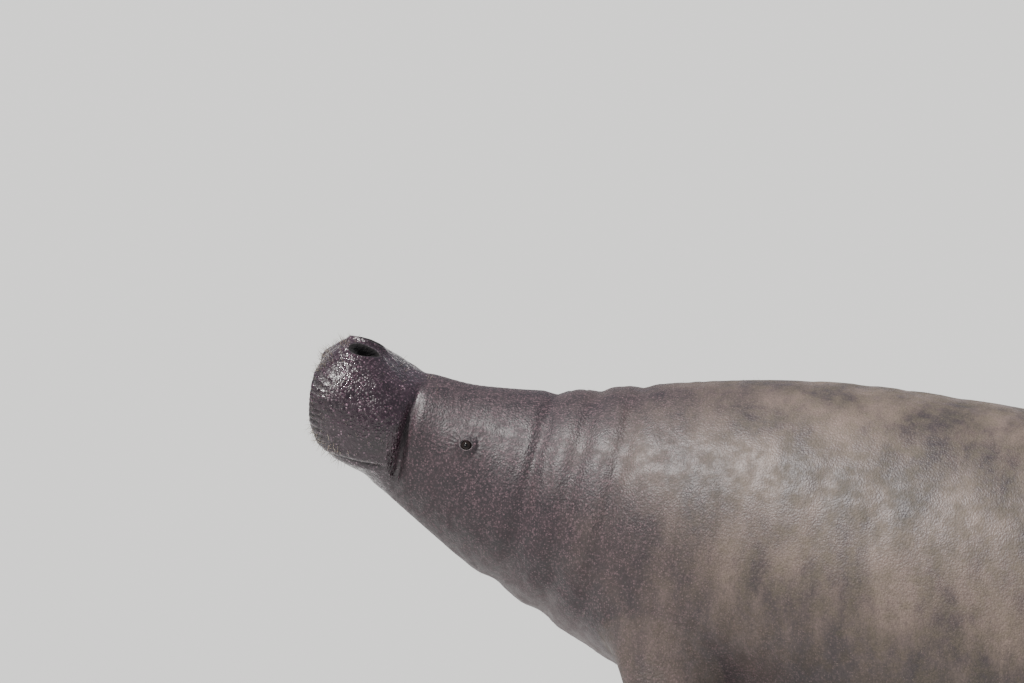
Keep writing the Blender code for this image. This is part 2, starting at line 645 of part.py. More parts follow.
def build_rod(name, x, top, collection):
    """One rod: a turned profile with a flange at its foot."""
    foot = BASE_THICKNESS + FIT_GAP
    outline = ((0, top), (ROD_RADIUS, top), (ROD_RADIUS, foot + ROD_FLANGE_HEIGHT + ROD_FILLET),
               (ROD_RADIUS + FILLET_MIDDLE, foot + ROD_FLANGE_HEIGHT + FILLET_MIDDLE),
               (ROD_RADIUS + ROD_FILLET, foot + ROD_FLANGE_HEIGHT),
               (ROD_FLANGE_RADIUS, foot + ROD_FLANGE_HEIGHT), (ROD_FLANGE_RADIUS, foot), (0, foot))
    mesh = bmesh.new()
    points = [mesh.verts.new((radius, 0, z)) for radius, z in outline]
    edges = [mesh.edges.new(pair) for pair in zip(points, points[1:])]
    bmesh.ops.spin(mesh, geom=points + edges, cent=(0, 0, 0), axis=(0, 0, 1), angle=2 * math.pi,
                   steps=ROD_SEGMENTS, use_merge=True)
    bmesh.ops.remove_doubles(mesh, verts=mesh.verts, dist=1e-6)
    bmesh.ops.recalc_face_normals(mesh, faces=mesh.faces)
    bmesh.ops.translate(mesh, verts=mesh.verts, vec=(x, 0, 0))
    return add_object(name, mesh, STAND_STEEL, "stand_steel", collection, 30.0)


def main():
    """Builds the animal and its stand in an empty scene."""
    for old in list(bpy.data.objects):
        bpy.data.objects.remove(old)
    collection = bpy.data.collections.new("manatee")
    cutters = bpy.data.collections.new("cutters")
    for made in (collection, cutters):
        bpy.context.scene.collection.children.link(made)
    body = build_body(collection)
    body_cutter = build_swollen_body(cutters)
    build_nostrils(body["muzzle"], cutters)
    build_eyes(body["head"], collection, cutters)
    build_flippers(body_cutter, collection, cutters)
    build_stand(body_cutter, collection)


main()
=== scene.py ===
"""Looks of a life-size manatee on its display stand: skin, eyes, nails, bristles, stand and studio.

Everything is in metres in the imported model's frame: the head points to -X, the animal's left side
faces -Y and the floor is at z = 0. As in the solids, the animal is shaped at rest, straight along an
axis, where x is the distance behind the front of the muzzle, y the side and z the height over the
axis. Then every point is carried to the pose by a spine that lifts the head and lets the tail droop.
"""

import logging
import math
from collections.abc import Callable, Iterable, Sequence
from dataclasses import dataclass, field
from enum import Enum
from functools import cached_property

import bmesh
import bpy
import numpy as np
from mathutils import Matrix, Vector, noise


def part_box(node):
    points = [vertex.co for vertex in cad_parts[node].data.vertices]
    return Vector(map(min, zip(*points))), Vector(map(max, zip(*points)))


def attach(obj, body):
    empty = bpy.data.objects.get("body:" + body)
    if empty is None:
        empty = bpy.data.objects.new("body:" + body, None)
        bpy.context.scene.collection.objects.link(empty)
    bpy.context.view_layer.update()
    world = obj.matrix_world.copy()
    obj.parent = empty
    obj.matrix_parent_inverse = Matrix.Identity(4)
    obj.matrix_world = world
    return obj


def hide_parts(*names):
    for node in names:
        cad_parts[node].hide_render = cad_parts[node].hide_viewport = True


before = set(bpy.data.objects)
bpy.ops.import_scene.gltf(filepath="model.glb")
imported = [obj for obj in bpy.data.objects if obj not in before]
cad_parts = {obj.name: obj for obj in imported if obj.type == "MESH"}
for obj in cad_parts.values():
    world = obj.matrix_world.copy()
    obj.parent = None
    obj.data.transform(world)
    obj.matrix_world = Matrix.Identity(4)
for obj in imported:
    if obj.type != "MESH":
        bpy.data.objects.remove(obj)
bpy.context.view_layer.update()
LOG = logging.getLogger("manatee")

Array = np.ndarray
BMesh = bmesh.types.BMesh
Plane = tuple[Array, Array]
Colour = tuple[float, float, float]
Hole = tuple[int, int, int, int]
Layer = bmesh.types.BMLayerItem
Look = bpy.types.Material
Node = bpy.types.Node
Piece = bpy.types.Object
Socket = bpy.types.NodeSocket
Tree = bpy.types.NodeTree


class Side(Enum):
    """A side of the animal, as the sign of y."""

    LEFT = -1
    RIGHT = 1

    @property
    def label(self) -> str:
        """Name of the side in the names of nodes and pieces."""
        return self.name.lower()


class Mask(Enum):
    """A skin mask, kept as an attribute of the vertices."""

    MUZZLE = "muzzle"
    # Painted shade: where the skin's colour is darkened in pits, slits, the mouth line and wrinkles.
    CAVITY = "cavity"
    ALGAE = "algae"
    BELLY = "belly"


# Curves, steps and bumps that the forms are made of


@dataclass(frozen=True)
class Spline:
    """A natural cubic spline through knots, level beyond its ends.

    Args:
        knots: where the values are given, rising.
        values: the values at the knots.
    """

    knots: tuple[float, ...]
    values: tuple[float, ...]

    @cached_property
    def bend(self) -> Array:
        """Second derivatives at the knots.

        Returns:
            One number a knot, 0 at both ends.
        """
        x, y = np.array(self.knots), np.array(self.values)
        h = np.diff(x)
        count = len(x)
        matrix, target = np.eye(count), np.zeros(count)
        for i in range(1, count - 1):
            matrix[i, i - 1:i + 2] = h[i - 1], 2 * (h[i - 1] + h[i]), h[i]
            target[i] = 6 * ((y[i + 1] - y[i]) / h[i] - (y[i] - y[i - 1]) / h[i - 1])
        return np.linalg.solve(matrix, target)

    def __call__(self, at: Array) -> Array:
        """Reads the curve.

        Args:
            at: where it is read.

        Returns:
            The curve's value at each place.
        """
        x, y = np.array(self.knots), np.array(self.values)
        h = np.diff(x)
        at = np.clip(at, x[0], x[-1])
        i = np.clip(np.searchsorted(x, at) - 1, 0, len(x) - 2)
        after, before = at - x[i], x[i + 1] - at
        cubic = (self.bend[i] * before ** 3 + self.bend[i + 1] * after ** 3) / (6 * h[i])
        low = (y[i] / h[i] - self.bend[i] * h[i] / 6) * before
        high = (y[i + 1] / h[i] - self.bend[i + 1] * h[i] / 6) * after
        return cubic + low + high


def step(low: float, high: float, value: Array) -> Array:
    """Smooth step.

    Args:
        low: the result is 0 before this.
        high: the result is 1 after this.
        value: what is looked at.

    Returns:
        Numbers from 0 to 1.
    """
    t = np.clip((value - low) / (high - low), 0, 1)
    return t * t * (3 - 2 * t)


def window(low: float, high: float, fade: float, value: Array) -> Array:
    """Smooth window.

    Args:
        low: where the window opens.
        high: where it closes.
        fade: half the length of each smooth end.
        value: what is looked at.

    Returns:
        1 inside the window and 0 outside it.
    """
    return step(low - fade, low + fade, value) * (1 - step(high - fade, high + fade, value))


def hill(value: Array, width: float) -> Array:
    """A rounded hill of height 1 about 0."""
    return np.exp(-(value / width) ** 2)


def bump(points: Sequence[Array], centre: Sequence[float], radii: Sequence[float]) -> Array:
    """A rounded bump of height 1, the same on both sides of the animal.

    Args:
        points: x, y and z of the points.
        centre: place of the bump on the right side.
        radii: its radii along the three axes.

    Returns:
        The height at each point.
    """
    x, y, z = points
    far = ((x - centre[0]) / radii[0]) ** 2 + ((np.abs(y) - centre[1]) / radii[1]) ** 2
    return np.exp(-far - ((z - centre[2]) / radii[2]) ** 2)


def unit(vectors: Array) -> Array:
    """Vectors of length 1 along the last axis, where they have a length at all."""
    return vectors / np.maximum(np.linalg.norm(vectors, axis=-1, keepdims=True), 1e-12)


def soft_noise(points: Array, wavelength: float, seed: int) -> Array:
    """Smooth noise in space.

    Args:
        points: rows of x, y, z.
        wavelength: typical distance between two humps, in metres.
        seed: which noise is read.

    Returns:
        Numbers from about -1 to 1.
    """
    places = points / wavelength + np.array((17.3, 9.1, 5.7)) * seed
    return np.array([noise.noise(Vector(place)) for place in places])


def running(steps: Array) -> Array:
    """Running total of steps, from 0."""
    return np.concatenate([[0], np.cumsum(steps)])


def wrinkle_lines(phase: Array, sharpness: float) -> Array:
    """Narrow lines, one a unit of the phase: 1 on a line and near 0 between them."""
    return (0.5 + 0.5 * np.cos(2 * math.pi * phase)) ** sharpness


# The animal's own form, with the values of the solids


@dataclass(frozen=True)
class Spine:
    """The spine that carries points at rest to the pose.

    Args:
        length: length of the animal along the spine.
        pitch: pitch in degrees, nose up, against the station.
        axis_height: height of the axis over the floor at axis_station.
        axis_station: station where the axis height is measured.
        foot_station: station over the stand's middle.
    """

    length: float = 3.0
    pitch: Spline = Spline((0.0, 0.06, 0.12, 0.18, 0.25, 0.33, 0.46, 0.70, 1.20, 1.90, 2.25, 2.60, 3.0),
                           (4.0, 13.0, 22.5, 29.0, 28.5, 23.5, 15.5, 13.5, 14.0, 11.5, 13.0, 11.0, 6.0))
    axis_height: float = 0.730
    axis_station: float = 1.30
    foot_station: float = 1.28

    @cached_property
    def table(self) -> tuple[Array, ...]:
        """Stations along the spine with their place and pitch.

        Returns:
            Stations, x, z and pitch in radians.
        """
        stations = np.linspace(0, self.length, 1201)
        pitch = np.radians(self.pitch(stations))
        middle = (pitch[1:] + pitch[:-1]) / 2
        stride = np.diff(stations)
        run = running(np.cos(middle) * stride)
        drop = running(-np.sin(middle) * stride)
        place_x = run - np.interp(self.foot_station, stations, run)
        place_z = drop - np.interp(self.axis_station, stations, drop) + self.axis_height
        return stations, place_x, place_z, pitch

    def pose(self, points: Array) -> Array:
        """Carries points to the pose.

        Args:
            points: places at rest, the last axis x, y, z.

        Returns:
            The places in the model's frame.
        """
        points = np.asarray(points, float)
        stations, *columns = self.table
        place_x, place_z, pitch = (np.interp(points[..., 0], stations, column) for column in columns)
        height = points[..., 2]
        posed = (place_x + height * np.sin(pitch), points[..., 1], place_z + height * np.cos(pitch))
        return np.stack(posed, axis=-1)

    def plane(self, first: tuple, second: tuple, towards: tuple) -> Plane:
        """Upright plane in the pose.

        Args:
            first: place (x, z) at rest on the plane.
            second: another place on it.
            towards: a place on the side that the normal points to.

        Returns:
            A point of the plane and its normal.
        """
        start, end, side = (self.pose((x, 0, z)) for x, z in (first, second, towards))
        normal = unit(np.cross(end - start, (0, 1, 0)))
        return start, normal * math.copysign(1, (side - start).dot(normal))


@dataclass(frozen=True)
class Spot:
    """A place on the plain skin with its three directions, all at rest.

    Args:
        place: the point.
        back: direction along the skin towards the tail.
        across: direction over the skin, square to back.
        out: direction out of the skin.
    """

    place: Array
    back: Array
    across: Array
    out: Array


@dataclass(frozen=True)
class BodyForm:
    """The body at rest: its sections along the axis and the named forms of its face and folds."""

    spine: Spine = Spine()
    muzzle_depth: float = 0.066
    muzzle_bluntness: float = 2.8
    muzzle_centre_z: float = -0.020
    paddle_end: float = 0.245
    paddle_bluntness: float = 2.15
    stations: tuple[float, ...] = (
        0.0, 0.045, 0.09, 0.13, 0.168, 0.21, 0.26, 0.33, 0.43, 0.56, 0.74, 0.98, 1.30,
        1.60, 1.85, 2.05, 2.20, 2.32, 2.42, 2.53, 2.64, 2.755, 3.0)
    half_widths: tuple[float, ...] = (
        0.080, 0.092, 0.099, 0.100, 0.097, 0.104, 0.118, 0.143, 0.182, 0.227, 0.279, 0.322,
        0.345, 0.331, 0.288, 0.235, 0.189, 0.160, 0.174, 0.232, 0.288, 0.312, 0.312)
    tops: tuple[float, ...] = (
        0.062, 0.072, 0.0635, 0.0550, 0.0635, 0.0755, 0.096, 0.123, 0.161, 0.205, 0.256, 0.299,
        0.318, 0.302, 0.256, 0.202, 0.152, 0.116, 0.090, 0.068, 0.052, 0.040, 0.016)
    bottoms: tuple[float, ...] = (
        -0.088, -0.106, -0.120, -0.127, -0.132, -0.140, -0.151, -0.171, -0.201, -0.240, -0.284, -0.321,
        -0.338, -0.323, -0.275, -0.213, -0.156, -0.118, -0.090, -0.066, -0.050, -0.038, -0.016)
    levels: tuple[float, ...] = (
        -0.034, -0.040, -0.040, -0.034, -0.028, -0.024, -0.020, -0.016, -0.014, -0.014, -0.012, -0.012,
        -0.016, -0.014, -0.010, -0.006, 0.0, 0.0, 0.0, 0.0, 0.0, 0.0, 0.0)
    squareness: Spline = Spline((0.0, 0.10, 0.20, 0.35, 0.60, 1.30, 2.20, 2.50, 3.0),
                                (2.12, 2.18, 2.12, 2.05, 2.0, 2.08, 2.0, 1.72, 1.70))
    crease_station: float = 0.160
    crease_lean: float = 0.20
    mouth_front_z: float = -0.086
    mouth_rear_z: float = -0.072
    mouth_corner: float = 0.146
    nostril_station: float = 0.062
    nostril_side: float = 0.0235
    eye_station: float = 0.252
    eye_level: float = 0.034

    @cached_property
    def curves(self) -> tuple[Spline, Spline, Spline, Spline]:
        """Splines of the half width, top, bottom and level of greatest width."""
        columns = (self.half_widths, self.tops, self.bottoms, self.levels)
        return tuple(Spline(self.stations, column) for column in columns)

    @cached_property
    def mouth_plane(self) -> Plane:
        """Plane of the mouth in the pose, its normal pointing up."""
        rear = (self.crease_station, self.mouth_rear_z)
        return self.spine.plane((0.0, self.mouth_front_z), rear, (0.1, 0.1))

    @cached_property
    def crease_plane(self) -> Plane:
        """Plane of the crease behind the muzzle, its normal pointing back."""
        top = (self.crease_station - self.crease_lean * 0.1, 0.1)
        return self.spine.plane((self.crease_station, 0.0), top, (1.0, 0.0))

    def beyond(self, plane: Plane, x: Array, z: Array) -> Array:
        """How far places at rest lie beyond a plane of the pose.

        Args:
            plane: a point and the normal.
            x: stations of the places.
            z: heights of the places.

        Returns:
            Distances, minus on the near side.
        """
        point, normal = plane
        return (self.spine.pose(np.stack(np.broadcast_arrays(x, 0 * z, z), axis=-1)) - point) @ normal

    def bluntness(self, x: Array) -> Array:
        """How full the section is, from 0 at either end of the animal to 1 along it."""
        ahead = np.clip(1 - x / self.muzzle_depth, 0, 1)
        behind = np.clip(1 - (self.spine.length - x) / self.paddle_end, 0, 1)
        front = (1 - ahead ** self.muzzle_bluntness) ** (1 / self.muzzle_bluntness)
        return front * (1 - behind ** self.paddle_bluntness) ** (1 / self.paddle_bluntness)

    def section(self, x: Array, turn: Array) -> Array:
        """Plain surface.

        Args:
            x: stations.
            turn: angles round the axis, from the right side over the back.

        Returns:
            Places at rest.
        """
        x = np.clip(x, 0, self.spine.length)
        width, top, bottom, widest = (curve(x) for curve in self.curves)
        full = self.bluntness(x)
        centre = self.muzzle_centre_z * (1 - step(0.0, 0.4, x))
        top, bottom, widest = (centre + (level - centre) * full for level in (top, bottom, widest))
        power = 2 / self.squareness(x)
        across, up = np.cos(turn), np.sin(turn)
        y = width * full * np.sign(across) * np.abs(across) ** power
        reach = np.where(up > 0, top - widest, widest - bottom)
        z = widest + reach * np.sign(up) * np.abs(up) ** power
        return np.stack(np.broadcast_arrays(x, y, z), axis=-1)

    def outward(self, x: Array, turn: Array) -> Array:
        """Directions out of the plain surface at stations and angles round the axis."""
        reach = 1e-4
        along = self.section(x + reach, turn) - self.section(x - reach, turn)
        around = self.section(x, turn + reach) - self.section(x, turn - reach)
        across = np.cross(around, along)
        poles = np.multiply.outer(np.sign(x - self.spine.length / 2), (1.0, 0.0, 0.0))
        flat = np.linalg.norm(across, axis=-1, keepdims=True) < 1e-15
        return np.where(flat, poles, unit(across))

    def skin(self, x: Array, turn: Array) -> Array:
        """Surface with the forms that the solids have.

        Args:
            x: stations.
            turn: angles round the axis.

        Returns:
            Places at rest.
        """
        plain = self.section(x, turn)
        columns = np.moveaxis(plain, -1, 0)
        relief = self.face_relief(*columns) + self.body_relief(*columns)
        return plain + self.outward(x, turn) * relief[..., None]

    def face_relief(self, x: Array, y: Array, z: Array) -> Array:
        """How far the face stands out from its plain section, by its named forms.

        Args:
            x: stations.
            y: sides.
            z: heights.

        Returns:
            Distances out of the plain skin.
        """
        points = (x, y, z)
        lip_pads = 0.016 * bump(points, (0.044, 0.060, -0.022), (0.062, 0.046, 0.062))
        front_pads = 0.016 * bump(points, (0.008, 0.056, 0.000), (0.045, 0.042, 0.034))
        nostril_mounds = 0.0055 * bump(points, (0.060, 0.018, 0.080), (0.035, 0.021, 0.030))
        rear_pads = 0.007 * bump(points, (0.112, 0.090, 0.0), (0.036, 0.060, 0.070))
        eye_mounds = 0.006 * bump(points, (self.eye_station, 0.118, self.eye_level), (0.034, 0.030, 0.028))
        cheeks = 0.006 * bump(points, (0.300, 0.130, -0.070), (0.060, 0.060, 0.060))
        chin = 0.013 * bump(points, (0.045, 0.0, -0.122), (0.055, 0.058, 0.030))
        front_groove = 0.013 * hill(y, 0.010) * (1 - step(0.040, 0.100, x)) * window(-0.120, 0.0, 0.030, z)
        nose_groove = 0.002 * hill(y, 0.010) * window(0.030, 0.095, 0.020, x) * step(0.040, 0.070, z)
        crease = 0.010 * hill(self.beyond(self.crease_plane, x, z), 0.010) * window(-0.105, 0.045, 0.030, z)
        crease *= step(0.020, 0.060, np.abs(y))
        saddle = 0.006 * bump(points, (0.135, 0.0, 0.090), (0.035, 0.070, 0.030))
        face_hollow = 0.006 * bump(points, (0.196, 0.100, -0.030), (0.035, 0.050, 0.045))
        above_mouth = self.beyond(self.mouth_plane, x, z)
        inside_mouth = self.inside_mouth(x)
        jaw_inset = 0.006 * inside_mouth * (1 - step(-0.010, 0.0, above_mouth))
        mouth_groove = 0.007 * inside_mouth * hill(above_mouth, 0.007)
        raised = lip_pads + front_pads + nostril_mounds + rear_pads + eye_mounds + cheeks + chin
        sunk = front_groove + nose_groove + crease + saddle + face_hollow + jaw_inset + mouth_groove
        return raised - sunk

    def inside_mouth(self, x: Array) -> Array:
        """1 ahead of the corner of the mouth and 0 behind it."""
        return 1 - step(self.mouth_corner - 0.02, self.mouth_corner + 0.02, x)

    def body_relief(self, x: Array, y: Array, z: Array) -> Array:
        """Folds of the neck, shoulder, loin and tail.

        Args:
            x: stations.
            y: sides.
            z: heights.

        Returns:
            Distances out of the plain skin.
        """
        relief = np.zeros_like(x)
        for station, depth, lean in ((0.372, 0.0060, 0.16), (0.438, 0.0050, 0.10), (0.505, 0.0045, 0.05)):
            relief -= depth * hill(x - station + lean * z, 0.016) * step(-0.30, 0.05, z + 0.4 * np.abs(y))
        for station, depth in ((0.400, 0.007), (0.470, 0.006)):
            relief -= depth * hill(x - station - 0.15 * z, 0.018) * (1 - step(-0.14, -0.04, z))
        for station, depth in ((2.235, 0.006), (2.300, 0.007), (2.362, 0.006)):
            relief -= depth * hill(x - station, 0.014)
        relief += 0.020 * bump((x, y, z), (0.62, 0.195, -0.110), (0.120, 0.110, 0.100))
        relief -= 0.012 * bump((x, y, z), (0.780, 0.270, -0.150), (0.060, 0.090, 0.080))
        return relief + 0.007 * hill(y, 0.050) * window(2.45, 2.85, 0.10, x)

    def angle_at(self, x: float, side: Side, over: float | None = None, level: float | None = None) -> float:
        """Angle round the axis of a place on the plain skin.

        Args:
            x: station of the place.
            side: side of the animal.
            over: distance from the middle, for a place on the back.
            level: height of the place, for one on a flank.

        Returns:
            The angle in radians.
        """
        on_back = over is not None
        turns = np.linspace(0, math.pi / 2, 901) if on_back else np.linspace(-1.5, 1.5, 901)
        ring = self.section(np.full_like(turns, x), turns)
        turn = np.interp(-over, -ring[:, 1], turns) if on_back else np.interp(level, ring[:, 2], turns)
        return float(turn if side is Side.RIGHT else math.pi - turn)

    def nostril_turn(self, side: Side) -> float:
        """Angle round the axis of a nostril."""
        return self.angle_at(self.nostril_station, side, over=self.nostril_side)

    def eye_turn(self, side: Side) -> float:
        """Angle round the axis of an eye."""
        return self.angle_at(self.eye_station, side, level=self.eye_level)

    def spot(self, x: float, turn: float) -> Spot:
        """The plain skin's place and directions.

        Args:
            x: station.
            turn: angle round the axis.

        Returns:
            The spot, whose cross is mirrored between the two sides.
        """
        at, angle = np.array((x,)), np.array((turn,))
        out = self.outward(at, angle)[0]
        back = unit((self.section(at + 1e-3, angle) - self.section(at - 1e-3, angle))[0])
        across = np.cross(out, back) * (-1 if math.cos(turn) < 0 else 1)
        return Spot(self.section(at, angle)[0], back, across, out)


@dataclass(frozen=True)
class FlipperForm:
    """A flipper at rest, from its root deep in the chest to its tip."""

    root: tuple[float, float, float] = (0.578, 0.150, -0.072)
    direction: tuple[float, float, float] = (0.50, 0.56, -0.66)
    chord: tuple[float, float, float] = (-1.0, 0.25, -0.25)
    length: float = 0.555
    half_chord: Spline = Spline((0.0, 0.24, 0.40, 0.56, 0.72, 0.87, 1.0),
                                (0.088, 0.074, 0.066, 0.072, 0.081, 0.077, 0.066))
    half_thickness: Spline = Spline((0.0, 0.24, 0.40, 0.56, 0.72, 0.87, 1.0),
                                    (0.062, 0.047, 0.035, 0.026, 0.019, 0.015, 0.012))
    sweep: float = 0.045
    curl: float = 0.030
    tip: float = 0.155

    def axes(self, side: Side) -> tuple[Array, Array, Array, Array]:
        """Root, length, chord and thickness directions of the flipper of one side."""
        mirror = np.array((1, side.value, 1))
        length = unit(np.array(self.direction) * mirror)
        chord = np.array(self.chord) * mirror
        chord = unit(chord - length * chord.dot(length))
        return np.array(self.root) * mirror, length, chord, np.cross(length, chord) * side.value

    def surface(self, side: Side, share: float | Array, turn: Array) -> Array:
        """Surface of the flipper.

        Args:
            side: side of the animal.
            share: share of the flipper's length.
            turn: angles round it, 0 at its leading edge.

        Returns:
            Places at rest.
        """
        root, length, chord, thickness = self.axes(side)
        share = np.broadcast_to(share, np.shape(turn)).astype(float)
        tip = np.clip(1 - (1 - share) / self.tip, 0, 1)
        full = (1 - tip ** 2.2) ** (1 / 2.2)
        across = self.half_chord(share) * full * np.cos(turn) - self.sweep * share ** 2
        out = self.half_thickness(share) * full ** 0.7 * np.sin(turn) - self.curl * share ** 2
        return (root + np.multiply.outer(self.length * share, length)
                + np.multiply.outer(across, chord) + np.multiply.outer(out, thickness))

    def angles(self, side: Side, points: Array, share: float) -> Array:
        """Angles round the flipper at which points lie.

        Args:
            side: side of the animal.
            points: places at rest round the flipper, in order.
            share: share of its length whose section they are measured by.

        Returns:
            Angles in radians that run on without a jump.
        """
        root, _, chord, thickness = self.axes(side)
        across = (points - root) @ chord + self.sweep * share ** 2
        out = (points - root) @ thickness + self.curl * share ** 2
        at = np.array((share,))
        return np.unwrap(np.arctan2(out / self.half_thickness(at), across / self.half_chord(at)))


# Meshes and objects


def new_object(name: str, mesh: BMesh, look: Look) -> Piece:
    """Turns a bmesh into a smooth object with its finish, at the origin.

    Args:
        name: name of the piece.
        mesh: its mesh, which is freed.
        look: its material.

    Returns:
        The object.
    """
    data = bpy.data.meshes.new(name)
    mesh.to_mesh(data)
    mesh.free()
    data.shade_smooth()
    data.materials.append(look)
    made = bpy.data.objects.new(name, data)
    bpy.context.scene.collection.objects.link(made)
    return made


def mount(piece: Piece, replaced: Iterable[str] = ()) -> Piece:
    """Rides a piece on the part's only body.

    Args:
        piece: the piece.
        replaced: solids that it stands for.

    Returns:
        The piece.
    """
    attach(piece, "root")
    replaced = tuple(replaced)
    if replaced:
        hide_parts(*replaced)
    LOG.info("%s: %d faces", piece.name, len(piece.data.polygons))
    return piece


def place_vertices(mesh: BMesh, points: Array) -> None:
    """Moves every vertex of a mesh to its row of points."""
    for vertex, point in zip(mesh.verts, points):
        vertex.co = point


# Node trees


class Graph:
    """A node tree that is filled by naming nodes and what feeds them.

    Args:
        tree: the tree of a material or a group.
    """

    def __init__(self, tree: Tree) -> None:
        """Keeps the tree."""
        self.tree = tree

    def node(self, kind: str, inputs: dict | None = None, **settings: object) -> Node:
        """Adds a node.

        Args:
            kind: its type, without ShaderNode before it.
            inputs: values or sockets by the input's name or number.
            settings: other properties of the node.

        Returns:
            The node.
        """
        made = self.tree.nodes.new(f"ShaderNode{kind}")
        for name, value in settings.items():
            setattr(made, name, value)
        for name, value in (inputs or {}).items():
            if isinstance(value, Socket):
                self.tree.links.new(value, made.inputs[name])
            else:
                made.inputs[name].default_value = value
        return made

    def math(self, operation: str, first: object, second: object) -> Socket:
        """A sum, quotient or other result of two numbers."""
        return self.node("Math", {0: first, 1: second}, operation=operation).outputs[0]

    def times(self, first: object, second: object) -> Socket:
        """The product of two numbers."""
        return self.math("MULTIPLY", first, second)

    def moved(self, operation: str, first: object, inputs: dict) -> Socket:
        """A place or direction changed by another or by a number."""
        return self.node("VectorMath", {0: first, **inputs}, operation=operation).outputs[0]

    def ramp(self, value: Socket, low: object, high: object, start: float = 0.0, end: float = 1.0) -> Socket:
        """Carries a range smoothly to another.

        Args:
            value: what is looked at.
            low: where the change begins, a number or a socket.
            high: where it ends.
            start: the result before low.
            end: the result after high.

        Returns:
            The result's socket.
        """
        inputs = {"Value": value, "From Min": low, "From Max": high, "To Min": start, "To Max": end}
        return self.node("MapRange", inputs, interpolation_type="SMOOTHSTEP").outputs[0]

    def mix(self, factor: object, first: object, second: object) -> Socket:
        """Mixes two colours.

        Args:
            factor: share of the second.
            first: a colour or its socket.
            second: another.

        Returns:
            The mixed colour's socket.
        """
        colours = {6: self.rgba(first), 7: self.rgba(second), 0: factor}
        return self.node("Mix", colours, data_type="RGBA").outputs[2]

    def grey(self, value: Socket) -> Socket:
        """A number as a grey colour."""
        return self.node("CombineColor", {"Red": value, "Green": value, "Blue": value}).outputs[0]

    @staticmethod
    def rgba(colour: object) -> object:
        """A plain colour with its alpha, or the socket as it is."""
        return (*colour, 1.0) if isinstance(colour, tuple) else colour

    def mask(self, name: Mask) -> Socket:
        """Value of a skin mask."""
        return self.node("Attribute", attribute_name=name.value).outputs["Fac"]

    def place(self) -> Socket:
        """Object coordinates."""
        return self.node("TexCoord").outputs["Object"]

    def group(self, tree: Tree, **inputs: object) -> Node:
        """Adds a shared effect.

        Args:
            tree: the effect's tree.
            inputs: its named inputs.

        Returns:
            The group's node.
        """
        return self.node("Group", inputs, node_tree=tree)

    def cloud(self, place: Socket, size: float, detail: float, low: float, high: float) -> Socket:
        """Soft patches of the mottling effect.

        Args:
            place: where the pattern is read.
            size: size of a patch in metres.
            detail: how fine its edges are.
            low: noise below this is outside the patches.
            high: noise above this is inside them.

        Returns:
            A mask from 0 to 1.
        """
        made = self.group(mottling(), Vector=place, Size=size, Detail=detail, Low=low, High=high)
        return made.outputs["Patch"]


@dataclass(frozen=True)
class Effect:
    """A shared effect's name and sockets.

    Args:
        name: name of the group.
        numbers: its number inputs with their usual values.
        results: its outputs.
    """

    name: str
    numbers: dict[str, float]
    results: tuple[str, ...]

    def build(self, fill: Callable[[Graph, dict[str, Socket]], tuple[Socket, ...]]) -> Tree:
        """Makes the group once.

        Args:
            fill: builds the inside from the named inputs, and gives the outputs in order.

        Returns:
            The group's tree.
        """
        found = bpy.data.node_groups.get(self.name)
        if found:
            return found
        tree = bpy.data.node_groups.new(self.name, "ShaderNodeTree")
        tree.interface.new_socket("Vector", in_out="INPUT", socket_type="NodeSocketVector")
        for name, value in self.numbers.items():
            socket = tree.interface.new_socket(name, in_out="INPUT", socket_type="NodeSocketFloat")
            socket.default_value = value
        for name in self.results:
            tree.interface.new_socket(name, in_out="OUTPUT", socket_type="NodeSocketFloat")
        graph = Graph(tree)
        given = graph.tree.nodes.new("NodeGroupInput")
        end = graph.tree.nodes.new("NodeGroupOutput")
        for name, result in zip(self.results, fill(graph, {s.name: s for s in given.outputs})):
            tree.links.new(result, end.inputs[name])
        return tree


def bent_cells(graph: Graph, given: dict[str, Socket], detail: float) -> dict[str, Socket]:
    """Places bent by noise, for a pattern of cells.

    Args:
        graph: the effect's graph.
        given: the effect's inputs Vector, Size and Warp.
        detail: detail of the noise.

    Returns:
        The place and the scale, as a cell pattern's inputs.
    """
    scale = graph.math("DIVIDE", 1.0, given["Size"])
    sway = graph.node("TexNoise", {"Vector": given["Vector"], "Scale": scale, "Detail": detail})
    centred = graph.moved("SUBTRACT", sway.outputs["Color"], {1: (0.5, 0.5, 0.5)})
    bend = graph.moved("SCALE", centred, {"Scale": graph.times(given["Size"], given["Warp"])})
    return {"Vector": graph.moved("ADD", given["Vector"], {1: bend}), "Scale": scale}


def pebbled_hide() -> Tree:
    """Effect of rounded pebbles: their height, a spot on each crown and a tone of their own."""
    effect = Effect("pebbled hide", {"Size": 0.004, "Roundness": 0.5, "Warp": 0.4},
                    ("Height", "Crown", "Tone"))

    def fill(graph: Graph, given: dict[str, Socket]) -> tuple[Socket, ...]:
        """Builds the pebbles from cells that a little noise bends."""
        cells = graph.node("TexVoronoi", bent_cells(graph, given, 1.0))
        tone = graph.node("SeparateColor", {"Color": cells.outputs["Color"]}).outputs[0]
        dome = graph.math("POWER", graph.ramp(cells.outputs["Distance"], 0.75, 0.05), given["Roundness"])
        crown = graph.ramp(cells.outputs["Distance"], 0.52, 0.16)
        return dome, crown, tone

    return effect.build(fill)


def creased_hide() -> Tree:
    """Effect of a net of fine creases: the height of the skin between them, and the creases."""
    effect = Effect("creased hide", {"Size": 0.012, "Width": 0.10, "Warp": 0.8}, ("Height", "Line"))

    def fill(graph: Graph, given: dict[str, Socket]) -> tuple[Socket, ...]:
        """Builds the net from the walls of cells that noise bends."""
        cells = graph.node("TexVoronoi", bent_cells(graph, given, 2.0), feature="DISTANCE_TO_EDGE")
        walls = cells.outputs["Distance"]
        return graph.ramp(walls, 0.0, 0.35), graph.ramp(walls, 0.0, given["Width"], 1.0, 0.0)

    return effect.build(fill)


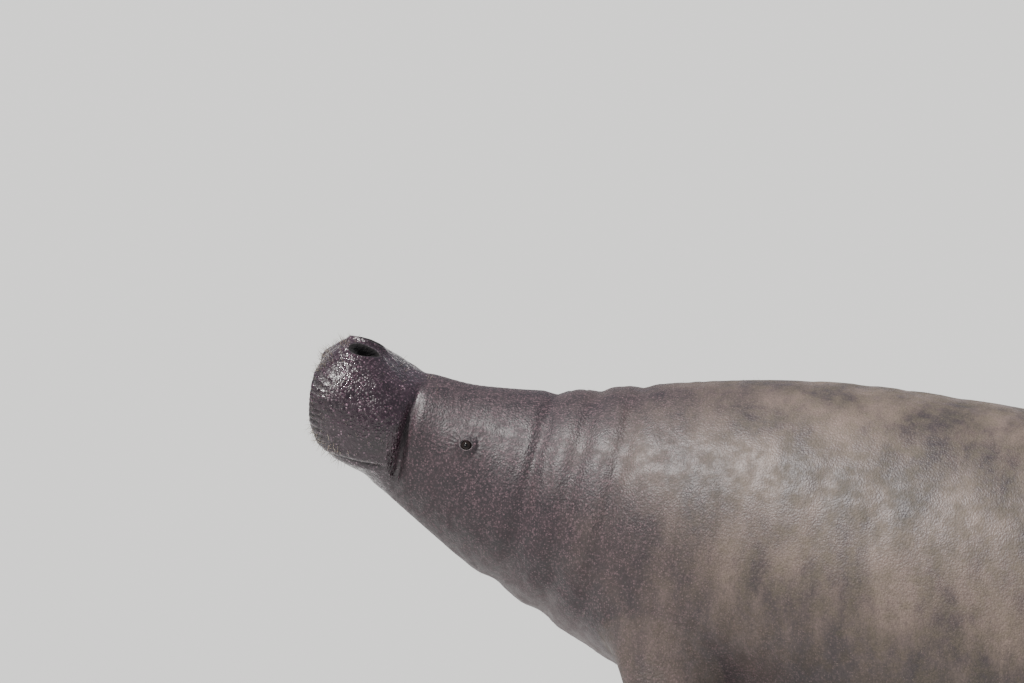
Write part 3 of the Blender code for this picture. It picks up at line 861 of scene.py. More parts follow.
def mottling() -> Tree:
    """Effect of soft cloudy patches: a mask from 0 to 1."""
    effect = Effect("mottling", {"Size": 0.1, "Detail": 4.0, "Low": 0.35, "High": 0.65}, ("Patch",))

    def fill(graph: Graph, given: dict[str, Socket]) -> tuple[Socket, ...]:
        """Builds the patches from noise."""
        scale = graph.math("DIVIDE", 1.0, given["Size"])
        noisy = graph.node("TexNoise", {"Vector": given["Vector"], "Scale": scale, "Detail": given["Detail"],
                                        "Roughness": 0.62}).outputs["Fac"]
        return (graph.ramp(noisy, given["Low"], given["High"]),)

    return effect.build(fill)


# Finishes


def new_material(name: str, colour: Colour, roughness: float, **plain: float) -> tuple[Graph, Look]:
    """Starts a material.

    Args:
        name: name of the finish.
        colour: its average colour, for the viewport and where nothing feeds it.
        roughness: its roughness where nothing feeds it.
        plain: other values that are the same all over, by socket name with _ for a space.

    Returns:
        The material's graph and the material.
    """
    made = bpy.data.materials.new(name)
    made.use_nodes = True
    made.diffuse_color = (*colour, 1.0)
    shader = made.node_tree.nodes["Principled BSDF"]
    shader.inputs["Base Color"].default_value = (*colour, 1.0)
    shader.inputs["Roughness"].default_value = roughness
    for name, value in plain.items():
        shader.inputs[name.replace("_", " ")].default_value = value
    return Graph(made.node_tree), made


def feed(graph: Graph, **sockets: Socket) -> None:
    """Links sockets to the shader's inputs, named with _ for a space."""
    shader = graph.tree.nodes["Principled BSDF"]
    for name, socket in sockets.items():
        graph.tree.links.new(socket, shader.inputs[name.replace("_", " ")])


def raised(graph: Graph, height: Socket, distance: float) -> Socket:
    """Normal of a surface with a height.

    Args:
        graph: the material's graph.
        height: the height, about 0 to 1.
        distance: how many metres a height of 1 is.

    Returns:
        The normal's socket.
    """
    return graph.node("Bump", {"Height": height, "Distance": distance, "Strength": 1.0}).outputs["Normal"]


@dataclass(frozen=True)
class SkinFinish:
    """Wet manatee skin: a dark pebbled muzzle, a finely speckled face, and a mottled grey-brown back."""

    muzzle_ground: Colour = (0.014, 0.006, 0.010)
    pebble_dark: Colour = (0.026, 0.012, 0.018)
    pebble_light: Colour = (0.120, 0.066, 0.090)
    fleck: Colour = (0.340, 0.215, 0.265)
    face_dark: Colour = (0.013, 0.006, 0.009)
    face_light: Colour = (0.170, 0.095, 0.112)
    back_dark: Colour = (0.034, 0.023, 0.025)
    back_light: Colour = (0.192, 0.135, 0.110)
    algae: Colour = (0.088, 0.072, 0.040)
    belly: Colour = (0.165, 0.130, 0.130)
    # Painted shade: near-black colour laid into the nostril pits, eye slits, mouth line, crease and wrinkles.
    cavity: Colour = (0.0025, 0.0015, 0.0020)
    pebble: float = 0.0040
    grain: float = 0.0034
    crease: float = 0.0075
    pitch: float = 14.0

    def material(self) -> Look:
        """Builds the material.

        Returns:
            The skin's material.
        """
        graph, made = new_material("wet_skin", self.face_dark, 0.4, Specular_IOR_Level=0.7)
        place = graph.place()
        along = graph.node("Mapping", {"Vector": place, "Rotation": (0, -math.radians(self.pitch), 0),
                                       "Scale": (1.7, 1.0, 0.8)}).outputs[0]
        pebbles = graph.group(pebbled_hide(), Vector=place, Size=self.pebble, Roundness=0.8, Warp=0.6)
        grains = graph.group(pebbled_hide(), Vector=place, Size=self.grain, Roundness=0.7, Warp=0.6)
        creases = graph.group(creased_hide(), Vector=along, Size=self.crease, Width=0.10, Warp=1.2)
        broad = graph.cloud(along, 0.13, 8.0, 0.32, 0.70)
        small = graph.cloud(place, 0.024, 5.0, 0.34, 0.68)
        salt = graph.cloud(place, 0.0042, 2.0, 0.50, 0.70)
        waves = graph.cloud(place, 0.010, 1.0, 0.25, 0.75)
        feed(graph, Base_Color=self.colour(graph, pebbles, grains, creases, broad, small, salt),
             Roughness=self.roughness(graph, pebbles, small),
             Normal=raised(graph, self.height(graph, pebbles, grains, creases, waves), 0.001))
        return made

    def colour(self, graph: Graph, pebbles: Node, grains: Node, creases: Node,
               broad: Socket, small: Socket, salt: Socket) -> Socket:
        """Builds the colour.

        Args:
            graph: the material's graph.
            pebbles: the muzzle's pebbles.
            grains: the grain all over.
            creases: the net of creases.
            broad: large patches.
            small: small patches.
            salt: irregular pale specks.

        Returns:
            The colour's socket.
        """
        muzzle, cavity, algae, belly = (graph.mask(mask) for mask in Mask)
        flecks = graph.ramp(grains.outputs["Tone"], 0.45, 1.0)
        specks = graph.math("MAXIMUM", graph.times(grains.outputs["Crown"], flecks),
                            graph.times(salt, 0.55))
        patchy = graph.mix(small, self.muzzle_ground, tuple(2.2 * c for c in self.muzzle_ground))
        pebble = graph.mix(pebbles.outputs["Tone"], self.pebble_dark, self.pebble_light)
        fleck = graph.times(graph.ramp(pebbles.outputs["Tone"], 0.82, 0.96), graph.ramp(small, 0, 1, 0.25, 1))
        pebble = graph.mix(fleck, pebble, self.fleck)
        dark = graph.mix(pebbles.outputs["Crown"], patchy, pebble)
        face = graph.mix(graph.times(small, 0.10), self.face_dark, self.face_light)
        face = graph.mix(graph.times(specks, 0.95), face, self.face_light)
        back = graph.mix(broad, self.back_dark, self.back_light)
        back = graph.mix(graph.times(small, 0.5), back, self.algae)
        back = graph.mix(graph.times(specks, 0.40), back, self.back_light)
        skin = graph.mix(algae, face, back)
        skin = graph.mix(graph.times(belly, 0.7), skin, self.belly)
        # Painted shade: the lines of the fine crease net are darkened.
        skin = graph.mix(graph.times(creases.outputs["Line"], 0.35), skin, self.face_dark)
        skin = graph.mix(muzzle, skin, dark)
        # Painted shade: the pits, slits, mouth line, crease and wrinkles are darkened to near black.
        return graph.mix(cavity, skin, self.cavity)

    def roughness(self, graph: Graph, pebbles: Node, patch: Socket) -> Socket:
        """Roughness: some pebbles of the muzzle glossy, the rest uneven by patches, the pits dull."""
        muzzle, cavity = graph.mask(Mask.MUZZLE), graph.mask(Mask.CAVITY)
        body = graph.ramp(patch, 0.0, 1.0, 0.50, 0.68)
        wet = graph.ramp(pebbles.outputs["Tone"], 0.40, 0.75, 0.36, 0.070)
        shares = graph.mix(muzzle, graph.grey(body), graph.grey(wet))
        return graph.mix(cavity, shares, (1.0, 1.0, 1.0))

    def height(self, graph: Graph, pebbles: Node, grains: Node, creases: Node,
               waves: Socket) -> Socket:
        """Builds the height in millimetres.

        Args:
            graph: the material's graph.
            pebbles: the muzzle's pebbles.
            grains: the grain all over.
            creases: the net of creases.
            waves: low uneven swells of the muzzle.

        Returns:
            The height's socket.
        """
        muzzle = graph.mask(Mask.MUZZLE)
        knobs = graph.times(pebbles.outputs["Height"], graph.ramp(muzzle, 0.0, 1.0, 0.0, 0.58))
        grain = graph.times(grains.outputs["Height"], graph.ramp(muzzle, 0.0, 1.0, 0.28, 0.12))
        folds = graph.times(creases.outputs["Height"], graph.ramp(muzzle, 0.0, 1.0, 0.18, 0.0))
        swells = graph.times(waves, graph.ramp(muzzle, 0.0, 1.0, 0.0, 0.7))
        return graph.math("ADD", graph.math("ADD", knobs, grain), graph.math("ADD", folds, swells))


@dataclass(frozen=True)
class EyeFinish:
    """A small dark wet eye with a brown iris."""

    iris: Colour = (0.020, 0.011, 0.007)
    rim: Colour = (0.007, 0.005, 0.005)
    pupil: Colour = (0.002, 0.002, 0.002)

    def material(self) -> Look:
        """Builds the material.

        Returns:
            The eye's material.
        """
        graph, made = new_material("wet_eye", self.rim, 0.12, Specular_IOR_Level=0.4)
        facing = graph.node("Attribute", attribute_name="facing").outputs["Fac"]
        streaks = graph.cloud(graph.place(), 0.0012, 3.0, 0.3, 0.7)
        iris = graph.mix(streaks, self.rim, self.iris)
        colour = graph.mix(graph.ramp(facing, 0.955, 0.975), iris, self.pupil)
        colour = graph.mix(graph.ramp(facing, 0.80, 0.72), colour, self.rim)
        feed(graph, Base_Color=colour, Roughness=graph.ramp(facing, 0.6, 0.9, 0.25, 0.08))
        return made


@dataclass(frozen=True)
class HornFinish:
    """Worn horn with growth lines, for the nails, and pale translucent horn for the bristles."""

    name: str = "nail_horn"
    dark: Colour = (0.20, 0.155, 0.115)
    light: Colour = (0.50, 0.43, 0.34)
    gloss: float = 0.32

    def material(self) -> Look:
        """Builds the material.

        Returns:
            The horn's material.
        """
        graph, made = new_material(self.name, self.light, self.gloss, Subsurface_Weight=0.15)
        place = graph.place()
        lines = graph.cloud(place, 0.004, 3.0, 0.35, 0.65)
        stain = graph.cloud(place, 0.015, 2.0, 0.4, 0.7)
        colour = graph.mix(graph.times(lines, 0.6), self.light, self.dark)
        colour = graph.mix(graph.times(stain, 0.5), colour, self.dark)
        feed(graph, Base_Color=colour, Normal=raised(graph, lines, 0.0002),
             Roughness=graph.ramp(stain, 0.0, 1.0, self.gloss, self.gloss + 0.15))
        return made


@dataclass(frozen=True)
class PaintFinish:
    """Dark powder-coated metal: a fine orange peel and a little dust."""

    colour: Colour = (0.035, 0.036, 0.038)
    dust: Colour = (0.16, 0.155, 0.145)

    def material(self) -> Look:
        """Builds the material.

        Returns:
            The paint's material.
        """
        graph, made = new_material("stand_paint", self.colour, 0.42)
        place = graph.place()
        peel = graph.group(pebbled_hide(), Vector=place, Size=0.0022, Roundness=0.8, Warp=0.4)
        dust = graph.cloud(place, 0.22, 6.0, 0.48, 0.78)
        colour = graph.mix(graph.times(dust, 0.25), self.colour, self.dust)
        feed(graph, Base_Color=colour, Roughness=graph.ramp(dust, 0.0, 1.0, 0.36, 0.58),
             Normal=raised(graph, peel.outputs["Height"], 0.00008))
        return made


@dataclass(frozen=True)
class SteelFinish:
    """Turned steel with fine tool marks round the rod and faint stains."""

    colour: Colour = (0.40, 0.40, 0.41)
    stain: Colour = (0.24, 0.225, 0.21)

    def material(self) -> Look:
        """Builds the material.

        Returns:
            The steel's material.
        """
        graph, made = new_material("stand_steel", self.colour, 0.32, Metallic=1.0)
        place = graph.place()
        rings = graph.node("Mapping", {"Vector": place, "Scale": (0.02, 0.02, 1.0)}).outputs[0]
        marks = graph.cloud(rings, 0.0014, 3.0, 0.3, 0.7)
        stain = graph.cloud(place, 0.06, 5.0, 0.45, 0.75)
        colour = graph.mix(graph.times(stain, 0.25), self.colour, self.stain)
        feed(graph, Base_Color=colour, Roughness=graph.ramp(stain, 0.0, 1.0, 0.36, 0.46),
             Normal=raised(graph, marks, 0.00006))
        return made


# The skin


@dataclass(frozen=True)
class Eyelet:
    """Rings of the skin's grid round an opening, so that the opening's rim follows the grid.

    Args:
        body: the body's form.
        station: station of the opening.
        turn: angle of the opening round the axis.
        size: half its length and half its width.
        cells: rings of the grid from the middle to the rim.
        reach: where the rings end and where the plain grid begins again, in sizes of the opening.
        splay: angle in degrees that it is turned by.
        taper: share by which it narrows towards its rear end.
    """

    body: BodyForm
    station: float
    turn: float
    size: tuple[float, float]
    cells: int
    reach: tuple[float, float]
    splay: float = 0.0
    taper: float = 0.0

    @cached_property
    def spot(self) -> Spot:
        """The opening's place on the plain skin."""
        return self.body.spot(self.station, self.turn)

    @cached_property
    def slopes(self) -> tuple[float, float, float]:
        """Distance back a unit of station, and distances back and across a unit of angle."""
        near = 1e-3
        places = self.body.section(self.station + near * np.array((1, -1, 0, 0)),
                                   self.turn + near * np.array((0, 0, 1, -1)))
        by_station, by_turn = (places[0] - places[1]) / (2 * near), (places[2] - places[3]) / (2 * near)
        return by_station @ self.spot.back, by_turn @ self.spot.back, by_turn @ self.spot.across

    def narrowing(self, lengthwise: Array) -> Array:
        """Share of the width that is left at places along the opening."""
        return 1 - self.taper * step(-1.0, 1.2, lengthwise)

    def local(self, s: Array, t: Array) -> tuple[Array, Array]:
        """How places lie to the opening.

        Args:
            s: stations.
            t: angles round the axis.

        Returns:
            Shares of the half length and of the half width; the rim lies at radius 1.
        """
        back_s, back_t, across_t = self.slopes
        along, over = (s - self.station) * back_s + (t - self.turn) * back_t, (t - self.turn) * across_t
        cos, sin = math.cos(math.radians(self.splay)), math.sin(math.radians(self.splay))
        lengthwise = (along * cos + over * sin) / self.size[0]
        return lengthwise, (over * cos - along * sin) / (self.size[1] * self.narrowing(lengthwise))

    def shift(self, stations: Array, turns: Array) -> tuple[Array, Array, Array]:
        """How far the grid's points move to form the rings.

        Args:
            stations: stations of the grid's rows.
            turns: angles of its columns.

        Returns:
            Changes of the station and of the angle at every grid point, and the share that they count by.
        """
        rows = np.arange(len(stations)) - np.abs(stations - self.station).argmin()
        columns = np.arange(len(turns)) - np.abs(turns - self.turn).argmin()
        down, aside = np.meshgrid(rows / self.cells, columns / self.cells, indexing="ij")
        square = np.maximum(np.abs(down), np.abs(aside))
        keep = square / np.maximum(np.hypot(down, aside), 1e-9)
        back_s, back_t, across_t = self.slopes
        along = self.size[0] * down * keep
        over = self.size[1] * aside * keep * self.narrowing(down * keep) * math.copysign(1, across_t)
        cos, sin = math.cos(math.radians(self.splay)), math.sin(math.radians(self.splay))
        more_t = (over * cos + along * sin) / across_t
        more_s = (along * cos - over * sin - more_t * back_t) / back_s
        share = 1 - step(*self.reach, square)
        return self.station + more_s - stations[:, None], self.turn + more_t - turns[None, :], share


@dataclass
class Skin:
    """The whole skin in one piece, from the muzzle to the paddle with both flippers grown on."""

    body: BodyForm
    flipper: FlipperForm
    finish: SkinFinish
    columns: int = 200
    cap_spacing: float = 0.0024
    end_spacing: float = 0.010
    spacing: Spline = Spline((0.05, 0.10, 0.17, 0.22, 0.30, 0.40, 0.55, 0.80, 1.10, 2.00, 2.30, 2.60, 2.80),
                             (0.0025, 0.0025, 0.0025, 0.0031, 0.0035, 0.0046, 0.0068, 0.0125, 0.0160, 0.0160,
                              0.0100, 0.0105, 0.0100))
    hole_station: float = 0.637
    hole_level: float = -0.137
    hole_length: float = 0.108
    hole_height: float = 0.088
    fillet_share: float = 0.36
    fillet_rings: int = 9
    blade_rings: int = 44
    tip_rings: int = 16
    eye_size: tuple[float, float] = (0.0100, 0.0074)
    eye_cells: int = 6
    eye_reach: tuple[float, float] = (1.8, 4.0)
    nostril_size: tuple[float, float] = (0.0195, 0.0150)
    nostril_cells: int = 9
    nostril_reach: tuple[float, float] = (1.15, 1.85)
    nostril_taper: float = 0.42
    nostril_depth: float = 0.036
    nostril_splay: float = -18.0
    nostril_slope: tuple[float, float] = (0.35, 0.30)
    furrow_pitch: float = 0.0092
    furrow_depth: float = 0.0038
    pleat_pitch: float = 0.0135
    cross_pitch: float = 0.021
    finger_pitch: float = 0.034
    solids: tuple[str, ...] = ("muzzle", "lower_jaw", "head", "neck", "torso", "tail_stock", "tail_paddle",
                               "flipper_left", "flipper_right")
    rest: Array = field(default_factory=lambda: np.zeros((0, 3)))

    def ring_stations(self) -> Array:
        """Stations of the grid's rings.

        Returns:
            Stations from the muzzle's front to the paddle's end, close where the forms are fine.
        """
        length = self.body.spine.length
        first, last = self.body.muzzle_depth, length - self.body.paddle_end
        front = self.even_cap(lambda x: 0.09 * self.body.bluntness(x), 0.0, first, self.cap_spacing)
        end = self.even_cap(lambda x: 0.312 * self.body.bluntness(x), last, length, self.end_spacing)
        fine = np.linspace(first, last, 4000)
        density = 1 / self.spacing(fine)
        total = running((density[1:] + density[:-1]) / 2 * np.diff(fine))
        middle = np.interp(np.linspace(0, total[-1], round(total[-1]) + 1), total, fine)
        return np.concatenate([front[:-1], middle, end[1:]])

    @staticmethod
    def even_cap(radius: Callable[[Array], Array], low: float, high: float, spacing: float) -> Array:
        """Stations that lie evenly along a rounded end's outline.

        Args:
            radius: radius against the station.
            low: first station.
            high: last station.
            spacing: distance between rings along the outline.

        Returns:
            The stations.
        """
        share = np.linspace(0, 1, 3001)
        fine = low + (high - low) * (share ** 3 if low == 0 else 1 - (1 - share) ** 3)
        length = running(np.hypot(np.diff(fine), np.diff(radius(fine))))
        return np.interp(np.linspace(0, length[-1], round(length[-1] / spacing) + 1), length, fine)

    def column_turns(self) -> Array:
        """Angles of the grid's columns, from the belly round to the belly again.

        Returns:
            Angles, close together at the nostrils, the eyes and the mouth.
        """
        fine = np.linspace(-math.pi / 2, 1.5 * math.pi, 4001)
        from_top = np.abs(fine - math.pi / 2)
        density = 1 + sum(extra * hill(from_top - at, width) for at, extra, width in
                          ((0.16, 2.40, 0.20), (1.20, 0.50, 0.24), (2.30, 0.45, 0.25)))
        total = running((density[1:] + density[:-1]) / 2)
        return np.interp(np.linspace(0, total[-1], self.columns + 1), total, fine)

    @cached_property
    def nostrils(self) -> dict[Side, Eyelet]:
        """The grid's rings round the nostrils."""
        body = self.body
        return {side: Eyelet(body, body.nostril_station, body.nostril_turn(side), self.nostril_size,
                             self.nostril_cells, self.nostril_reach, self.nostril_splay, self.nostril_taper)
                for side in Side}

    @cached_property
    def eyes(self) -> dict[Side, Eyelet]:
        """The grid's rings round the eyes."""
        body = self.body
        return {side: Eyelet(body, body.eye_station, body.eye_turn(side), self.eye_size, self.eye_cells,
                             self.eye_reach) for side in Side}

    def grid(self) -> tuple[Array, Array, dict[Side, Hole]]:
        """Stations and angles of every grid point, and the rows and columns of the flippers' holes.

        Returns:
            Two arrays of rows by columns, and the first and last row and column of each hole.
        """
        stations, turns = self.ring_stations(), self.column_turns()
        s, t = np.meshgrid(stations, turns, indexing="ij")
        shifts = [eyelet.shift(stations, turns) for eyelet in (*self.nostrils.values(), *self.eyes.values())]
        total = np.maximum(sum(share for *_, share in shifts), 1)
        s = s + sum(more_s * share for more_s, _, share in shifts) / total
        t = t + sum(more_t * share for _, more_t, share in shifts) / total
        holes = {}
        for side in Side:
            middle = self.body.angle_at(self.hole_station, side, level=self.hole_level)
            rim = self.body.section(np.full(2, self.hole_station), np.array((middle - 0.05, middle + 0.05)))
            half_turn = self.hole_height / (np.linalg.norm(rim[1] - rim[0]) / 0.1)
            rows = np.searchsorted(stations, (self.hole_station - self.hole_length,
                                              self.hole_station + self.hole_length))
            across = np.searchsorted(turns, (middle - half_turn, middle + half_turn))
            holes[side] = (int(rows[0]), int(rows[1]), int(across[0]), int(across[1]))
            s, t = self.round_hole(stations, turns, s, t, holes[side])
        return s, t, holes

    @staticmethod
    def round_hole(stations: Array, turns: Array, s: Array, t: Array,
                   hole: Hole) -> tuple[Array, Array]:
        """Bends the grid so that a square hole in it becomes round.

        Args:
            stations: stations of the rows.
            turns: angles of the columns.
            s: stations of the grid points.
            t: angles of the grid points.
            hole: first and last row and column of the hole.

        Returns:
            The bent stations and angles.
        """
        first_row, last_row, first_column, last_column = hole
        half_s = (stations[last_row] - stations[first_row]) / 2
        half_t = (turns[last_column] - turns[first_column]) / 2
        mid_s = (stations[last_row] + stations[first_row]) / 2
        mid_t = (turns[last_column] + turns[first_column]) / 2
        u, v = (s - mid_s) / half_s, (t - mid_t) / half_t
        square = np.maximum(np.abs(u), np.abs(v))
        round_ = np.hypot(u, v)
        share = 1 - step(1.0, 2.4, square)
        keep = 1 + share * (square / np.maximum(round_, 1e-9) - 1)
        return mid_s + u * keep * half_s, mid_t + v * keep * half_t

    def build(self) -> Piece:
        """Builds the skin.

        Returns:
            The skin's object.
        """
        s, t, holes = self.grid()
        rows, columns = s.shape
        mesh = bmesh.new()
        tag = mesh.verts.layers.int.new("grid")
        ring = mesh.verts.layers.int.new("ring")
        order = mesh.faces.layers.int.new("order")
        bmesh.ops.create_grid(mesh, x_segments=columns - 1, y_segments=rows - 1, size=1.0)
        place_vertices(mesh, self.body.skin(s, t).reshape(-1, 3))
        for index, vertex in enumerate(mesh.verts):
            vertex[tag] = index
        for index, face in enumerate(mesh.faces):
            face[order] = index
        self.open_holes(mesh, holes, columns)
        bmesh.ops.remove_doubles(mesh, verts=mesh.verts, dist=1e-6)
        tips = {side: self.grow_flipper(mesh, side, hole, s, t, tag, ring, order)
                for side, hole in holes.items()}
        bmesh.ops.remove_doubles(mesh, verts=mesh.verts, dist=1e-6)
        bmesh.ops.recalc_face_normals(mesh, faces=mesh.faces)
        # A weld leaves new faces in no fixed order, and the hairs are drawn by the faces' numbers
        mesh.faces.sort(key=lambda face: face[order])
        mesh.faces.index_update()
        LOG.info("skin: open edges %d, flipper vertices %s", sum(e.is_boundary for e in mesh.edges), tips)
        return self.finish_mesh(mesh, s.ravel(), t.ravel(), tag, ring)

    @staticmethod
    def open_holes(mesh: BMesh, holes: dict[Side, Hole], columns: int) -> None:
        """Removes the faces where the flippers grow.

        Args:
            mesh: the skin's grid.
            holes: first and last row and column of each hole.
            columns: vertices in a row of the grid.
        """
        mesh.faces.ensure_lookup_table()
        inside = [mesh.faces[row * (columns - 1) + column] for first_row, last_row, first_column, last_column
                  in holes.values() for row in range(first_row, last_row)
                  for column in range(first_column, last_column)]
        bmesh.ops.delete(mesh, geom=inside, context="FACES")

    def grow_flipper(self, mesh: BMesh, side: Side, hole: Hole, s: Array, t: Array, tag: Layer, ring: Layer,
                     order: Layer) -> int:
        """Extrudes the rim of a hole, ring by ring, to a flipper.

        Args:
            mesh: the skin with its holes.
            side: side of the animal.
            hole: first and last row and column of the hole.
            s: stations of the grid points.
            t: angles of the grid points.
            tag: layer of the vertices' grid numbers.
            ring: layer of the flipper's ring numbers.
            order: layer of the faces' fixed order.

        Returns:
            How many vertices the flipper has.
        """
        first_row, last_row, first_column, last_column = hole
        columns = s.shape[1]
        loop = [(row, first_column) for row in range(first_row, last_row)]
        loop += [(last_row, column) for column in range(first_column, last_column)]
        loop += [(row, last_column) for row in range(last_row, first_row, -1)]
        loop += [(first_row, column) for column in range(last_column, first_column, -1)]
        numbers = {row * columns + column: index for index, (row, column) in enumerate(loop)}
        picked = tuple(np.array(loop).T)
        edges = [edge for edge in mesh.edges
                 if edge.is_boundary and all(vertex[tag] in numbers for vertex in edge.verts)]
        rings = self.flipper_rings(side, s[picked], t[picked])
        count = 0
        for level, points in enumerate(rings):
            grown = bmesh.ops.extrude_edge_only(mesh, edges=edges)["geom"]
            edges = [item for item in grown if isinstance(item, bmesh.types.BMEdge)]
            for vertex in (item for item in grown if isinstance(item, bmesh.types.BMVert)):
                vertex.co = points[numbers[vertex[tag]]]
                vertex[ring] = (level + 1) * side.value
                count += 1
            for edge in edges:
                low, high = sorted(numbers[vertex[tag]] for vertex in edge.verts)
                turn = low if high - low == 1 else high
                edge.link_faces[0][order] = s.size * (2 + side.value) + level * len(loop) + turn
        return count

    def flipper_rings(self, side: Side, s: Array, t: Array) -> list[Array]:
        """Rings of points from the rim on the chest, over a fillet, to the tip.

        Args:
            side: side of the animal.
            s: stations of the rim.
            t: angles of the rim.

        Returns:
            Arrays of places at rest, one a ring.
        """
        rim = self.body.skin(s, t)
        middle_s, middle_t = s.mean(), t.mean()
        inner = self.body.skin(middle_s + (s - middle_s) * 0.96, middle_t + (t - middle_t) * 0.96)
        angles = self.flipper.angles(side, rim, 0.2)
        first = self.flipper.surface(side, self.fillet_share, angles)
        onward = self.flipper.surface(side, self.fillet_share + 0.01, angles) - first
        reach = np.linalg.norm(first - rim, axis=1, keepdims=True)
        leave, arrive = unit(inner - rim) * reach * 0.9, unit(onward) * reach * 1.15
        rings = []
        for share in np.linspace(0, 1, self.fillet_rings + 1)[1:-1]:
            a, b = 2 * share ** 3 - 3 * share ** 2 + 1, share ** 3 - 2 * share ** 2 + share
            c, d = -2 * share ** 3 + 3 * share ** 2, share ** 3 - share ** 2
            rings.append(a * rim + b * leave + c * first + d * arrive)
        blade = np.linspace(self.fillet_share, 1 - self.flipper.tip, self.blade_rings, endpoint=False)
        tip = 1 - self.flipper.tip * (1 - np.sin(np.linspace(0, math.pi / 2, self.tip_rings + 1)))
        return rings + [self.flipper.surface(side, share, angles) for share in (*blade, *tip)]

    def finish_mesh(self, mesh: BMesh, s: Array, t: Array, tag: Layer,
                    ring: Layer) -> Piece:
        """Adds the fine forms, carries the skin to the pose and paints its masks.

        Args:
            mesh: the closed skin at rest.
            s: stations of the grid points.
            t: angles of the grid points.
            tag: layer of the vertices' grid numbers.
            ring: layer of the flipper's ring numbers.

        Returns:
            The skin's object.
        """
        mesh.normal_update()
        places = np.array([vertex.co for vertex in mesh.verts])
        normals = np.array([vertex.normal for vertex in mesh.verts])
        numbers = np.array([vertex[tag] for vertex in mesh.verts])
        rings = np.array([vertex[ring] for vertex in mesh.verts])
        plain = self.body.section(s[numbers], t[numbers])
        on_flipper = rings != 0
        plain[on_flipper] = places[on_flipper]
        relief, slide, cavity = self.fine_relief(plain, s[numbers], t[numbers], on_flipper)
        flipper_relief = self.flipper_relief(places, np.abs(rings))
        relief = np.where(on_flipper, flipper_relief, relief)
        self.rest = places + normals * relief[:, None] + slide
        place_vertices(mesh, self.body.spine.pose(self.rest))
        made = new_object("skin", mesh, self.finish.material())
        self.paint(made.data, plain, on_flipper, cavity)
        return made

    def fine_relief(self, plain: Array, s: Array, t: Array,
                    on_flipper: Array) -> tuple[Array, Array, Array]:
        """Forms too fine for the solids.

        Args:
            plain: places at rest on the plain skin.
            s: their stations.
            t: their angles round the axis.
            on_flipper: which of them are on a flipper.

        Returns:
            Distances out of the skin, slides along it, and a mask of the deep places, where shade is painted
            into the colour.
        """
        x, y, z = plain.T
        flank = np.abs(y)
        nostrils, slide, nostril_shade = self.nostril_relief(s, t)
        lids, lid_shade = self.lid_relief(plain, s, t)
        mouth, mouth_shade = self.mouth_relief(x, z)
        behind = self.body.beyond(self.body.crease_plane, x, z)
        crease = window(-0.090, 0.045, 0.030, z) * step(0.015, 0.055, flank)
        relief = nostrils + lids + mouth - 0.0030 * hill(behind, 0.0040) * crease
        ahead = 1 - step(-0.012, 0.004, behind)
        relief += 0.0004 * ahead * soft_noise(plain, 0.014, 1) + 0.0003 * ahead * soft_noise(plain, 0.0075, 2)
        sway = 0.010 * soft_noise(plain, 0.045, 3)
        furrows = wrinkle_lines((z + sway) / self.furrow_pitch, 1.3) * (1 - step(0.018, 0.050, x))
        furrows = furrows * window(-0.085, 0.042, 0.02, z) * step(0.006, 0.020, flank)
        relief -= self.furrow_depth * furrows
        pleats = wrinkle_lines((x + 0.35 * z + sway * 0.8) / self.pleat_pitch, 2.2)
        pleats *= window(0.168, 0.30, 0.015, x)
        relief -= 0.0006 * pleats * (0.6 + 0.6 * soft_noise(plain, 0.05, 4))
        relief += self.neck_relief(plain, flank)
        relief += self.trunk_relief(plain)
        # Painted shade: this mask darkens the colour in the crease, nostrils, eye slits, mouth line, front
        # furrows and pleats.
        crease_shade = hill(behind, 0.0042) * window(-0.040, 0.035, 0.035, z) * step(0.04, 0.08, flank)
        dark = np.maximum.reduce([nostril_shade, lid_shade, mouth_shade, 0.80 * crease_shade, 0.60 * furrows,
                                  0.12 * pleats])
        return relief, slide, np.where(on_flipper, 0.0, dark)

    def nostril_relief(self, s: Array, t: Array) -> tuple[Array, Array, Array]:
        """Pits of the nostrils with their rims, sloping back and inward as they go down.

        Args:
            s: stations.
            t: angles round the axis.

        Returns:
            Distances out of the skin, slides along it, and a mask of the pits, where shade is painted.
        """
        relief, slide, dark = np.zeros(len(s)), np.zeros((len(s), 3)), np.zeros(len(s))
        for nostril in self.nostrils.values():
            lengthwise, crosswise = nostril.local(s, t)
            far = np.hypot(lengthwise, crosswise)
            pit = 1 - step(0.50, 1.00, far)
            rim = hill(far - 1.20, 0.20) * (0.0012 + 0.0016 * step(-0.8, 0.8, -crosswise))
            relief += rim - self.nostril_depth * pit
            slope = self.nostril_slope[0] * nostril.spot.back - self.nostril_slope[1] * nostril.spot.across
            slide += self.nostril_depth * np.multiply.outer(pit, slope)
            # Painted shade inside the nostril's pit.
            dark = np.maximum(dark, 1 - step(1.00, 1.10, far))
        return relief, slide, dark

    def lid_relief(self, plain: Array, s: Array, t: Array) -> tuple[Array, Array]:
        """Lids round the eyes with fine radial wrinkles.

        Args:
            plain: places at rest.
            s: their stations.
            t: their angles round the axis.

        Returns:
            Distances out of the skin, and a mask of the slits and radial wrinkles, where shade is painted.
        """
        relief, dark = np.zeros(len(plain)), np.zeros(len(plain))
        for eye in self.eyes.values():
            lengthwise, crosswise = eye.local(s, t)
            inside = np.hypot(lengthwise, crosswise)
            far = np.linalg.norm(plain - eye.spot.place, axis=1)
            slit = 1 - step(0.82, 1.00, inside)
            angle = np.arctan2(crosswise, lengthwise)
            rays = wrinkle_lines(angle * 17 / (2 * math.pi) + 0.35 * soft_noise(plain, 0.02, 5), 1.5)
            rays *= window(0.014, 0.034, 0.006, far)
            ring = hill(far - 0.0205, 0.0030)
            relief += 0.0068 * hill(far, 0.0120) - 0.0105 * slit - 0.0007 * rays - 0.0010 * ring
            # Painted shade in the eye's slit and along the radial wrinkles.
            dark = np.maximum(dark, np.maximum(0.9 * (1 - step(0.84, 1.02, inside)), 0.22 * rays))
        return relief, dark

